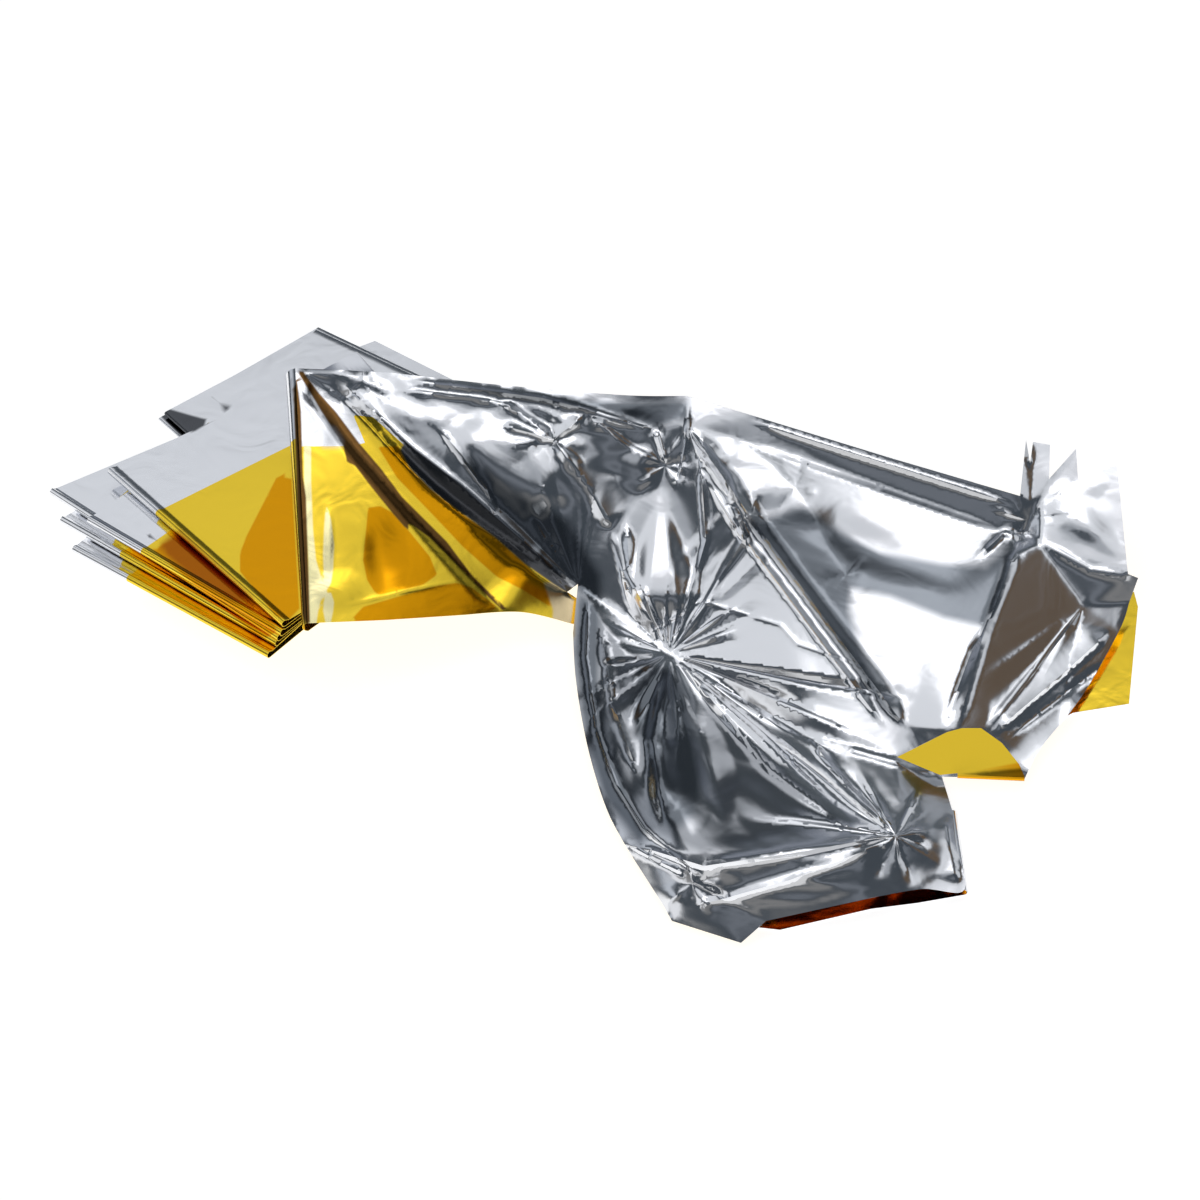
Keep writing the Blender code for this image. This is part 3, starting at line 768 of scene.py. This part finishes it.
def guide_lines():
    """The lines along which the mesh is laid: creases and folds of fans."""
    lines = []
    for row in CREASES:
        rise, left, right, fade = row[:4]
        places = row[4:]
        for off in (0.0, -0.5 * left, 0.5 * right):
            if abs(off) > 9.0:
                continue
            for a, b in zip(places[:-1], places[1:]):
                run = math.hypot(b[0] - a[0], b[1] - a[1])
                du = -(b[1] - a[1]) / run * off
                dv = (b[0] - a[0]) / run * off
                trim = 0.04 if off else 0.0
                lines.append(((a[0] + du + (b[0] - a[0]) * trim,
                               a[1] + dv + (b[1] - a[1]) * trim),
                              (b[0] + du - (b[0] - a[0]) * trim,
                               b[1] + dv - (b[1] - a[1]) * trim)))
    for (u, v, first, last, reach, rise, folds), parts in ALL_FANS:
        for a, crest, b, far, high in parts:
            start = 1.3 / math.radians(b - a)
            for way in (a, crest):
                c, s = math.cos(math.radians(way)), math.sin(math.radians(way))
                if start < far * 0.9:
                    lines.append(((u + start * c, v + start * s),
                                  (u + far * 0.95 * c, v + far * 0.95 * s)))
    return lines


GUIDES = guide_lines()


def rise_at(u, v):
    """Rise of the looks above the plain sheet, at arrays of chart places."""
    total = np.zeros(len(u))
    for row in CREASES:
        rise, left, right, fade = row[:4]
        d, t = along_line(u, v, row[4:])
        ends = smooth_step(t / fade) * smooth_step((1.0 - t) / fade)
        wide = np.where(d < 0.0, left, right) * (0.35 + 0.65 * ends)
        x = np.clip(np.abs(d) / wide, 0.0, 1.0)
        total += rise * ends * (smooth_step(1.0 - x) if min(left, right) > 12
                                else (1.0 - x) ** 1.7)
    for (fu, fv, first, last, reach, rise, folds), parts in ALL_FANS:
        r = np.hypot(u - fu, v - fv)
        way = np.degrees(np.arctan2(v - fv, u - fu))
        for a, crest, b, far, high in parts:
            w = a + np.mod(way - a, 360.0)
            inside = (w < b) & (r < far)
            if not inside.any():
                continue
            wi, ri = w[inside], r[inside] / far
            tooth = np.where(wi < crest, (wi - a) / (crest - a), (b - wi) / (b - crest))
            start = 1.3 / math.radians(b - a) / far
            grow = ri * smooth_step((1.0 - ri) / 0.55) * smooth_step(ri / start - 0.5)
            total[inside] += high * tooth * grow
    for bu, bv, wide, high, turn, rise in BULGES:
        c, s = math.cos(math.radians(turn)), math.sin(math.radians(turn))
        x = ((u - bu) * c + (v - bv) * s) / wide
        y = (-(u - bu) * s + (v - bv) * c) / high
        total += rise * np.clip(1.0 - x * x - y * y, 0.0, 1.0) ** 2
    for i, (cu, cv, wide, high, turn, rise, size) in enumerate(CRUMPLED):
        c, s = math.cos(math.radians(turn)), math.sin(math.radians(turn))
        x = ((u - cu) * c + (v - cv) * s) / wide
        y = (-(u - cu) * s + (v - cv) * c) / high
        mask = np.clip(1.0 - x * x - y * y, 0.0, 1.0) ** 0.7
        for k in np.nonzero(mask > 0.001)[0]:
            p = Vector((x[k] * wide / (2.6 * size), y[k] * high / size, 3.7 * i))
            a = noise.noise(p)
            b = noise.noise(p * 2.3 + Vector((5.1, 1.3, 0.0)))
            total[k] += mask[k] * rise * (0.9 - 2.2 * abs(a) + 0.4 * b)
    return total


def calm(u, v):
    """Nought at the joins, one away from them."""
    out = np.ones(len(u))
    for a, b, reach in JOINS:
        out *= smooth_step(to_line(u, v, a, b)[0] / reach)
    return out


# ---------------------------------------------------------------- meshes
class Film:
    """Points, faces and the gold measure of the whole shown film."""

    def __init__(self):
        self.points, self.faces, self.gold, self.kind = [], [], [], []

    def add(self, points, faces, gold, flip=False, kinds=None):
        base = len(self.points)
        self.points.extend(tuple(p) for p in points)
        self.gold.extend(gold)
        for f in faces:
            f = [base + i for i in f]
            self.faces.append(f[::-1] if flip else f)
        self.kind.extend(kinds if kinds else [0] * len(faces))


def leans(points, faces, axis):
    """Sum of the faces' area normals along an axis."""
    total = 0.0
    for f in faces:
        a, b, c = points[f[0]], points[f[1]], points[f[2]]
        total += (b - a).cross(c - a)[axis]
        if len(f) > 3:
            d = points[f[3]]
            total += (c - a).cross(d - a)[axis]
    return total


def grid_faces(rows):
    width = len(rows[0])
    faces = []
    for r in range(len(rows) - 1):
        for k in range(width - 1):
            i = r * width + k
            faces.append([i, i + width, i + width + 1, i + 1])
    return faces


def pack_rows(along, page, turn_steps):
    rows, tags = [], []
    last, swell = None, 0.0
    for n, row in enumerate(FOLDS):
        radius = row[5]
        a, b, out = fold_ends(row)
        bead = BEAD if row[0].startswith("fan") else 0.0
        steps = turn_steps if radius[0] > 0.0 else 0
        bends = []
        for k in range(steps + 1):
            turn = math.radians(-90.0 + 180.0 * k / steps) if steps else 0.0
            bends.append([centre + out * ((r + bead) * 0.001 * math.cos(turn))
                          + Vector((0, 0, (bead + (r + bead) * math.sin(turn)) * 0.001))
                          for centre, r in ((a, radius[0]), (b, radius[1]))])
        if last is not None:
            for f in ([0.018, 0.028] + [k / page for k in range(1, page)]
                      + [0.972, 0.982]):
                # the page stays level up to its bead
                line = [last[e].lerp(bends[0][e], f) for e in (0, 1)]
                for p in line:
                    p.z -= 0.002 * swell * (1.0 - f)
                rows.append(line)
                tags.append((n, f))
        for e in bends:
            rows.append(e)
            tags.append((n, 0.0))
        last = bends[-1]
        swell = bead
    lines = []
    for (back, front), (n, f) in zip(rows, tags):
        line = []
        for k in range(along + 1):
            t = k / along
            p = back.lerp(front, t)
            if f > 0.0:
                wave = math.sin(math.pi * f) * math.sin(math.pi * t)
                p.z += 0.00022 * wave * noise.noise(
                    Vector((p.x * 26.0, p.y * 26.0, 0.8 * n)))
            line.append(p)
        lines.append(line)
    return lines, tags


def add_pack(film):
    along = 24
    rows, tags = pack_rows(along, 12, 6)
    points = [p for line in rows for p in line]
    faces = grid_faces(rows)
    gold = [(k / along - GOLD_SHARE) * 277.0 if n > REAR_FOLDS else -5.0
            for n, f in tags for k in range(along + 1)]
    # side A is up on the page that runs right from the last of the fan's folds
    some = [f for f in faces
            if tags[f[0] // (along + 1)][0] == len(FOLDS) - 2
            and 0.0 < tags[f[0] // (along + 1)][1] < 0.8]
    # the rear pages are silver on both their sides
    kinds = [2 if tags[f[0] // (along + 1)][0] <= REAR_FOLDS + 1 else 0
             for f in faces]
    film.add(points, faces, gold, leans(points, some, 2) < 0.0, kinds)


def add_sheet(film, rows, gold, axis, sign):
    """A plain lofted piece, turned so that side A faces along the axis."""
    points = [p for line in rows for p in line]
    faces = grid_faces(rows)
    film.add(points, faces, [gold] * len(points),
             flip=leans(points, faces, axis) * sign < 0.0)


def rim_line(names, curved, start):
    """Corners joined into a rim with points GRID apart; runs of curved corners
    are rounded."""
    pts = list(start) + [(n,) + CORNERS[n] for n in names]
    count = len(pts)
    out = []
    for i in range(count):
        p1, p2 = pts[i], pts[(i + 1) % count]
        p0, p3 = pts[i - 1], pts[(i + 2) % count]
        bent = p1[0] in curved and p2[0] in curved
        run = math.hypot(p2[1] - p1[1], p2[2] - p1[2])
        steps = max(1, int(round(run / GRID)))
        for k in range(steps):
            t = k / steps
            q = []
            for c in (1, 2, 3):
                a0 = p0[c] if p0[0] in curved else p1[c]
                a3 = p3[c] if p3[0] in curved else p2[c]
                if bent:
                    value = 0.5 * (2 * p1[c] + (p2[c] - a0) * t
                                   + (2 * a0 - 5 * p1[c] + 4 * p2[c] - a3) * t * t
                                   + (3 * p1[c] - a0 - 3 * p2[c] + a3) * t ** 3)
                else:
                    value = p1[c] + (p2[c] - p1[c]) * t
                q.append(value)
            out.append(tuple(q))
    return out


def cast_heights(surface, u, v):
    """Heights in millimetres of a charted surface at chart places."""
    tilt = math.radians(CHART_TILT)
    ahead = Vector((0.0, math.cos(tilt), -math.sin(tilt)))
    above = Vector((0.0, math.sin(tilt), math.cos(tilt)))
    eye = -ahead * CHART_RANGE
    ring = [(0.0, 0.0)]
    for r in (0.7, 1.5, 3.0, 5.0, 8.0, 12.0):
        ring += [(r * math.cos(math.radians(a)), r * math.sin(math.radians(a)))
                 for a in range(0, 360, 45)]
    out = np.zeros(len(u))
    for i in range(len(u)):
        for du, dv in ring:
            ray = (ahead * CHART_RANGE
                   + Vector(((u[i] + du - CHART_MID[0]) * CHART_UNIT, 0.0, 0.0))
                   + above * ((CHART_MID[1] - v[i] - dv) * CHART_UNIT))
            hit = surface.ray_cast(eye, ray.normalized())
            if hit[0] is not None:
                out[i] = hit[0].z * 1000.0
                break
        else:
            out[i] = np.nan
    return out


def inside_any(u, v, rings):
    """The largest signed distance to any of some rings."""
    best = np.full(len(u), -1e9)
    for ring in rings:
        best = np.maximum(best, inside_distance(u, v, ring))
    return best


def inside_distance(u, v, ring):
    """Signed distance to a ring of chart points: above zero inside it."""
    best = np.full(len(u), 1e9)
    inside = np.zeros(len(u), bool)
    n = len(ring)
    for i in range(n):
        (ax, ay), (bx, by) = ring[i][:2], ring[(i + 1) % n][:2]
        best = np.minimum(best, to_line(u, v, (ax, ay), (bx, by))[0])
        cross = ((ay > v) != (by > v)) & (
            u < (bx - ax) * (v - ay) / ((by - ay) if by != ay else 1e-9) + ax)
        inside ^= cross
    return np.where(inside, best, -best)


# Gold part of the open page, run round clockwise.
GOLD_PAGE = [(262, 447), (352, 446), (365, 443), (353, 415), (373, 417),
             (404, 445), (412, 450), (456, 500), (515, 548), (577, 594),
             (585, 640), (262, 700)]


def add_patch(film, names, curved, surface, start=(), gold_ring=None):
    rim = rim_line(names, curved, start)
    ru = np.array([p[0] for p in rim])
    rv = np.array([p[1] for p in rim])
    spots = [(p[0], p[1]) for p in rim]
    edges = []
    lines = []
    for (u1, v1), (u2, v2) in GUIDES:
        run = math.hypot(u2 - u1, v2 - v1)
        steps = max(1, int(run / GRID))
        k = np.arange(steps + 1) / steps
        lu, lv = u1 + (u2 - u1) * k, v1 + (v2 - v1) * k
        fine = inside_distance(lu, lv, spots[:len(rim)]) > GRID * 0.7
        last = None
        for i in range(steps + 1):
            if fine[i]:
                spots.append((lu[i], lv[i]))
                if last is not None:
                    edges.append((last, len(spots) - 1))
                last = len(spots) - 1
            else:
                last = None
        if fine.any():
            lines.append(((u1, v1), (u2, v2)))
    shift = np.random.default_rng(7)
    rows = np.arange(rv.min(), rv.max(), GRID * 0.866)
    gu, gv = [], []
    for j, y in enumerate(rows):
        x = np.arange(ru.min() + (GRID / 2 if j % 2 else 0.0), ru.max(), GRID)
        gu.append(x)
        gv.append(np.full(len(x), y))
    gu, gv = np.concatenate(gu), np.concatenate(gv)
    gu = gu + shift.uniform(-0.12, 0.12, len(gu)) * GRID
    gv = gv + shift.uniform(-0.12, 0.12, len(gv)) * GRID
    keep = inside_distance(gu, gv, rim) > GRID * 0.6
    gu, gv = gu[keep], gv[keep]
    keep = np.ones(len(gu), bool)
    for a, b in lines:
        keep &= to_line(gu, gv, a, b)[0] > GRID * 0.45
    gu, gv = gu[keep], gv[keep]
    flat = [Vector((p[0], -p[1])) for p in spots]
    flat += [Vector((x, -y)) for x, y in zip(gu, gv)]
    out = delaunay_2d_cdt(flat, edges, [list(range(len(rim)))], 1, 1e-3)
    verts, faces, origin = out[0], out[2], out[3]
    u = np.array([p[0] for p in verts])
    v = np.array([-p[1] for p in verts])
    h = cast_heights(surface, u, v)
    for i, source in enumerate(origin):
        for s in source:
            if s < len(rim):
                h[i] = rim[s][2]
    h = h + rise_at(u, v) * calm(u, v)
    h = np.maximum(h, 2.2)
    for i, source in enumerate(origin):
        for s in source:
            if s < len(rim):
                h[i] = max(h[i], rim[s][2]) if rim[s][2] < 2.2 else h[i]
    points = [place(a, b, c) for a, b, c in zip(u, v, h)]
    mu = np.array([np.mean([u[i] for i in f]) for f in faces])
    mv = np.array([np.mean([v[i] for i in f]) for f in faces])
    good = inside_distance(mu, mv, rim) > 0.0
    faces = [list(f) for f, g in zip(faces, good) if g]
    gold = (inside_distance(u, v, gold_ring) if gold_ring
            else np.full(len(u), -5.0))
    film.add(points, faces, list(gold), flip=leans(points, faces, 2) < 0.0)


UPPER_CURVED = {"ridge_b", "ridge_c", "ridge_d", "ridge_e", "edge_a", "edge_b",
                "edge_c", "edge_d", "edge_e", "front_a", "front_b", "front_c"}
LOWER_CURVED = {"low_a", "low_b", "low_c", "low_d", "low_e", "low_f", "low_g",
                "low_l", "low_m", "low_n", "low_j", "low_k"}


def level_ply(rim, h):
    """A level ply inside a rim of chart places, with points of its own."""
    spots = []
    for (au, av), (bu, bv) in zip(rim, rim[1:] + rim[:1]):
        steps = max(1, int(math.hypot(bu - au, bv - av) / 12.0))
        spots += [(au + (bu - au) * k / steps, av + (bv - av) * k / steps)
                  for k in range(steps)]
    count = len(spots)
    gu, gv = np.meshgrid(np.arange(660.0, 1140.0, 12.0), np.arange(580.0, 945.0, 12.0))
    gu, gv = gu.ravel(), gv.ravel()
    keep = inside_distance(gu, gv, spots) > 6.0
    spots += list(zip(gu[keep], gv[keep]))
    out = delaunay_2d_cdt([Vector((p[0], -p[1])) for p in spots], [],
                          [list(range(count))], 1, 1e-4)
    points = [place(p[0], -p[1], h) for p in out[0]]
    return points, [list(f) for f in out[2]]


def chart_fan(rim):
    flat = [Vector((chart(p)[0], -chart(p)[1])) for p in rim]
    out = delaunay_2d_cdt(flat, [], [list(range(len(rim)))], 1, 1e-4)
    points = [rim[o[0]] for o in out[3]]
    return points, [list(f) for f in out[2]]


def make_film():
    control, parts = control_mesh()
    film = Film()
    add_pack(film)
    rings = pack_rings()
    last = rings[-1]
    start = []
    for p in reversed(last):
        cu, cv = chart(p)
        start.append(("pack", cu, cv, p.z * 1000.0))
    add_patch(film, SHEET_EDGE, UPPER_CURVED, parts["upper"], start, GOLD_PAGE)
    add_patch(film, LOWER_EDGE, LOWER_CURVED, parts["lower"])

    # the ply turned under the lower flap
    high = [corner(n)[2] for n in UNDER_JOIN]
    low = [Vector((p.x, p.y, UNDER_LEVEL * 0.001)) for p in high]
    add_sheet(film, bend(low, high, [Vector((1.0, 0.0, 0.0))] * len(high)),
              -5.0, 0, 1.0)
    points, faces = level_ply([chart(p) for p in low]
                              + [corner(n)[:2] for n in UNDER_EDGE], UNDER_LEVEL)
    film.add(points, faces, [-5.0] * len(points), flip=leans(points, faces, 2) > 0.0)

    # the curl at the front
    low = [corner(n)[2] for n in CURL_JOIN]
    high = [p + Vector((0, 0, CURL_RISE * 0.001)) for p in low]
    add_sheet(film, bend(low, high, [Vector((0.0, -1.0, 0.0))] * len(low)),
              -5.0, 1, 1.0)
    points, faces = chart_fan(high + [corner(n)[2] for n in CURL_EDGE])
    film.add(points, faces, [-5.0] * len(points), flip=leans(points, faces, 2) > 0.0)

    # the ply behind the ridge
    tops = [corner(row[0])[2] for row in APRON]
    feet = [place(row[1], row[2], row[3]) for row in APRON]
    rows = [[a.lerp(b, k / 6) for a, b in zip(tops, feet)] for k in range(7)]
    add_sheet(film, rows, -5.0, 1, 1.0)

    co = np.array(film.points) - np.array(ORIGIN)
    mesh = bpy.data.meshes.new("foil_film")
    mesh.from_pydata([tuple(p) for p in co], [], film.faces)
    mesh.update()
    u, v = chart_all(np.array(film.points))
    gold = np.array(film.gold)
    # Besides the gold and the silver place on the back, these places hold painted shade,
    # highlights and reflections.
    looks = {"gold": gold,
             "painted_amber_shade": np.minimum(inside_any(u, v, PAINTED_AMBER_SHADE), gold),
             "painted_dark_reflection": inside_any(u, v, PAINTED_DARK_REFLECTIONS),
             "painted_soft_shade": inside_any(u, v, PAINTED_SOFT_SHADE),
             "painted_grey_reflection": inside_any(u, v, PAINTED_GREY_REFLECTIONS),
             "painted_red_shade": np.minimum(inside_any(u, v, PAINTED_RED_SHADE), gold),
             "painted_crease_shade": inside_any(u, v, PAINTED_CREASE_SHADE),
             "painted_highlight": inside_any(u, v, PAINTED_HIGHLIGHTS),
             "painted_beige_reflection": inside_any(u, v, PAINTED_BEIGE_REFLECTION),
             "pale": inside_any(u, v, PALE),
             "painted_back_amber_shade": inside_any(u, v, PAINTED_BACK_AMBER_SHADE),
             "painted_deep_shade": inside_any(u, v, PAINTED_DEEP_SHADE)}
    for name, values in looks.items():
        attr = mesh.attributes.new(name, "FLOAT", "POINT")
        attr.data.foreach_set("value", values.astype(np.float32))
    face, back, rear = film_materials()
    for mat in (face, back, face, rear):
        mesh.materials.append(mat)
    mesh.polygons.foreach_set("material_index", np.array(film.kind, np.int32))
    bm = bmesh.new()
    bm.from_mesh(mesh)
    bmesh.ops.remove_doubles(bm, verts=bm.verts[:], dist=0.00003)
    bm.to_mesh(mesh)
    bm.free()
    obj = bpy.data.objects.new("foil_film", mesh)
    bpy.context.scene.collection.objects.link(obj)
    solid = obj.modifiers.new("film", "SOLIDIFY")
    solid.thickness = FILM
    solid.offset = 0.0
    solid.use_even_offset = True
    solid.thickness_clamp = 1.0
    solid.material_offset = 1
    solid.material_offset_rim = 0
    bpy.context.view_layer.update()
    final = bpy.data.meshes.new_from_object(
        obj.evaluated_get(bpy.context.evaluated_depsgraph_get()))
    obj.modifiers.clear()
    obj.data = final
    final.shade_smooth()
    final.set_sharp_from_angle(angle=math.radians(50.0))
    return obj


def material(name, colour, rough):
    mat = bpy.data.materials.new(name)
    mat.use_nodes = True
    nt = mat.node_tree
    sh = nt.nodes["Principled BSDF"]
    sh.inputs["Metallic"].default_value = 1.0
    sh.inputs["Roughness"].default_value = rough
    sh.inputs["Base Color"].default_value = colour
    return mat, nt, sh


def crinkle(nt, sh):
    """Fine wrinkles of the film, too small for its mesh."""
    co = nt.nodes.new("ShaderNodeTexCoord")
    wide = nt.nodes.new("ShaderNodeTexNoise")
    wide.inputs["Scale"].default_value = 38.0
    wide.inputs["Detail"].default_value = 2.0
    wide.inputs["Distortion"].default_value = 1.2
    fine = nt.nodes.new("ShaderNodeTexNoise")
    fine.inputs["Scale"].default_value = 1500.0
    fine.inputs["Detail"].default_value = 1.0
    for node in (wide, fine):
        nt.links.new(co.outputs["Object"], node.inputs["Vector"])
    one = nt.nodes.new("ShaderNodeBump")
    one.inputs["Distance"].default_value = 0.0009
    one.inputs["Strength"].default_value = 0.2
    two = nt.nodes.new("ShaderNodeBump")
    two.inputs["Distance"].default_value = 0.00002
    two.inputs["Strength"].default_value = 0.25
    nt.links.new(wide.outputs["Fac"], one.inputs["Height"])
    nt.links.new(fine.outputs["Fac"], two.inputs["Height"])
    nt.links.new(one.outputs["Normal"], two.inputs["Normal"])
    nt.links.new(two.outputs["Normal"], sh.inputs["Normal"])


def film_side(name, colour, places):
    """One side of the film: its colour, and those of some places on it, its own (the gold,
    the silver place on the back) or painted shade, highlights and reflections.
    """
    mat, nt, sh = material(name, colour, 0.15)
    crinkle(nt, sh)
    below = colour
    for place_name, other, soft in places:
        at = nt.nodes.new("ShaderNodeAttribute")
        at.attribute_name = place_name
        step = nt.nodes.new("ShaderNodeMapRange")
        step.interpolation_type = "SMOOTHSTEP"
        step.inputs["From Min"].default_value = -soft
        step.inputs["From Max"].default_value = soft
        nt.links.new(at.outputs["Fac"], step.inputs["Value"])
        mix = nt.nodes.new("ShaderNodeMix")
        mix.data_type = "RGBA"
        nt.links.new(step.outputs["Result"], mix.inputs["Factor"])
        if isinstance(below, tuple):
            mix.inputs["A"].default_value = below
        else:
            nt.links.new(below, mix.inputs["A"])
        mix.inputs["B"].default_value = other
        below = mix.outputs["Result"]
    if places:
        nt.links.new(below, sh.inputs["Base Color"])
    return mat


def film_materials():
    silver = (0.90, 0.91, 0.935, 1.0)
    gold = (1.0, 0.70, 0.05, 1.0)
    painted_amber_shade = (0.84, 0.37, 0.004, 1.0)
    # On the face side the gold is the film's own colour; every other place is painted light:
    # darker amber and red shade, a beige reflection, pale highlights, a dark crease shade,
    # and grey and dark reflections.
    face = film_side("film_face", silver, [
        ("gold", gold, 0.05), ("painted_amber_shade", painted_amber_shade, 1.2),
        ("painted_red_shade", (0.45, 0.13, 0.006, 1.0), 5.0), ("painted_beige_reflection", (0.85, 0.68, 0.40, 1.0), 2.0),
        ("painted_highlight", (1.0, 0.91, 0.48, 1.0), 1.2),
        ("painted_crease_shade", (0.14, 0.07, 0.02, 1.0), 1.2),
        ("painted_grey_reflection", (0.50, 0.515, 0.54, 1.0), 6.0),
        ("painted_soft_shade", (0.22, 0.24, 0.265, 1.0), 7.0),
        ("painted_dark_reflection", (0.10, 0.105, 0.115, 1.0), 1.5)])
    # On the back, the amber and the dark red places are painted shade; the silver place is
    # the film's own colour.
    back = film_side("film_back", gold, [
        ("painted_back_amber_shade", painted_amber_shade, 2.0), ("painted_deep_shade", (0.22, 0.045, 0.003, 1.0), 6.0),
        ("pale", silver, 1.0)])
    rear = film_side("film_rear", silver, ())
    return face, back, rear


film = make_film()
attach(film, "root")
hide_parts("foil_sheet")

# ---------------------------------------------------------------- studio
floor_mesh = bpy.data.meshes.new("floor")
floor_mesh.from_pydata([(-4, -4, 0), (4, -4, 0), (4, 4, 0), (-4, 4, 0)], [], [(0, 1, 2, 3)])
floor = bpy.data.objects.new("floor", floor_mesh)
floor.location.z = -0.0002
bpy.context.scene.collection.objects.link(floor)
fmat = bpy.data.materials.new("pale_floor")
fmat.use_nodes = True
fsh = fmat.node_tree.nodes["Principled BSDF"]
fsh.inputs["Base Color"].default_value = (0.5, 0.5, 0.5, 1.0)
fsh.inputs["Roughness"].default_value = 0.8
fsh.inputs["Specular IOR Level"].default_value = 0.0
fsh.inputs["Emission Color"].default_value = (1, 1, 1, 1)
fsh.inputs["Emission Strength"].default_value = 0.86
floor_mesh.materials.append(fmat)

world = bpy.data.worlds.new("studio")
bpy.context.scene.world = world
world.use_nodes = True
wt = world.node_tree
wt.nodes.clear()
wout = wt.nodes.new("ShaderNodeOutputWorld")
wbg = wt.nodes.new("ShaderNodeBackground")
wt.links.new(wbg.outputs[0], wout.inputs[0])
wco = wt.nodes.new("ShaderNodeTexCoord")


def math_node(op, a, b=None, c=None):
    node = wt.nodes.new("ShaderNodeMath")
    node.operation = op
    for i, value in enumerate((a, b, c)):
        if value is None:
            continue
        if isinstance(value, (int, float)):
            node.inputs[i].default_value = value
        else:
            wt.links.new(value, node.inputs[i])
    return node.outputs[0]


def ramp_node(value, low, high):
    """Smooth 0 to 1 as the value goes from low to high."""
    node = wt.nodes.new("ShaderNodeMapRange")
    node.interpolation_type = "SMOOTHSTEP"
    wt.links.new(value, node.inputs["Value"])
    node.inputs["From Min"].default_value = low
    node.inputs["From Max"].default_value = high
    return node.outputs["Result"]


# A direction in the studio is told by its turn, from the far horizon (0)
# over the top (90) to the near one (180), and its lean to the right.
split = wt.nodes.new("ShaderNodeSeparateXYZ")
wt.links.new(wco.outputs["Generated"], split.inputs[0])
wave = wt.nodes.new("ShaderNodeTexNoise")
wt.links.new(wco.outputs["Generated"], wave.inputs["Vector"])
wave.inputs["Scale"].default_value = 2.6
wave.inputs["Detail"].default_value = 1.5
shift = math_node("MULTIPLY", math_node("SUBTRACT", wave.outputs["Fac"], 0.5), 6.0)
turn_way = math_node("ADD", math_node("MULTIPLY", math_node(
    "ARCTAN2", split.outputs["Z"], split.outputs["Y"]), 57.29578), shift)
lean_way = math_node("SUBTRACT", math_node("MULTIPLY", math_node(
    "ARCSINE", split.outputs["X"]), 57.29578), shift)

# What the film mirrors: walls, lamps and dark gaps of the studio.
#   turn from, to  lean from, to  softness  colour
PATCHES = [
    (38,   72,  -24,  22,  3.0, (0.71, 0.73, 0.765)),
    (70,   80,   -5,  13,  3.0, (0.36, 0.38, 0.41)),
    (-10,  43,    1,  60,  4.0, (0.075, 0.088, 0.10)),
    (60,   65,    3,  14,  2.0, (0.44, 0.45, 0.48)),
    (50,   61,   -2,  14,  3.0, (1.8, 1.8, 1.84)),
    (54,   67,   24,  38,  2.0, (0.105, 0.072, 0.045)),
    (12,   62,   39,  58,  4.0, (0.58, 0.60, 0.63)),
    (30,   40,   20,  32,  3.0, (0.30, 0.32, 0.35)),
    (20,  125,  -80, -62,  4.0, (1.0, 1.0, 1.0)),
    (80,  129,  -90, -26,  5.0, (0.80, 0.81, 0.83)),
    (10,   24,  -40,  50,  6.0, (0.20, 0.22, 0.26)),
    (10,   19,   11,  22,  2.5, (0.76, 0.78, 0.82)),
    (90,   99,  -10,  30,  5.0, (0.16, 0.175, 0.20)),
    (28,   80,  -52, -36,  5.0, (0.50, 0.53, 0.58)),
    (108, 122,  -60,  60,  6.0, (0.20, 0.20, 0.20)),
    (129, 190,  -30,  60,  4.0, (0.66, 0.66, 0.66)),
]
sky = (0.050, 0.060, 0.072, 1.0)
for low_t, high_t, low_l, high_l, soft, colour in PATCHES:
    mask = math_node("MULTIPLY", ramp_node(turn_way, low_t - soft, low_t + soft),
                     ramp_node(turn_way, high_t + soft, high_t - soft))
    mask = math_node("MULTIPLY", mask, math_node(
        "MULTIPLY", ramp_node(lean_way, low_l - soft, low_l + soft),
        ramp_node(lean_way, high_l + soft, high_l - soft)))
    mix = wt.nodes.new("ShaderNodeMix")
    mix.data_type = "RGBA"
    wt.links.new(mask, mix.inputs["Factor"])
    if isinstance(sky, tuple):
        mix.inputs["A"].default_value = sky
    else:
        wt.links.new(sky, mix.inputs["A"])
    mix.inputs["B"].default_value = colour + (1.0,)
    sky = mix.outputs["Result"]
wt.links.new(sky, wbg.inputs["Color"])

# ---------------------------------------------------------------- camera
cam = bpy.data.objects.new("camera", bpy.data.cameras.new("camera"))
bpy.context.scene.collection.objects.link(cam)
tilt = math.radians(CHART_TILT)
cam.location = Vector((0.0, -math.cos(tilt), math.sin(tilt))) * CHART_RANGE - ORIGIN
cam.rotation_euler = (math.radians(90.0 - CHART_TILT), 0.0, 0.0)
cam.data.sensor_width = 36.0
cam.data.lens = 18.0 / (600.0 * CHART_UNIT / CHART_RANGE)
cam.data.clip_start = 0.01
cam.data.dof.use_dof = False
bpy.context.scene.camera = cam
bpy.context.scene.view_settings.view_transform = "Standard"
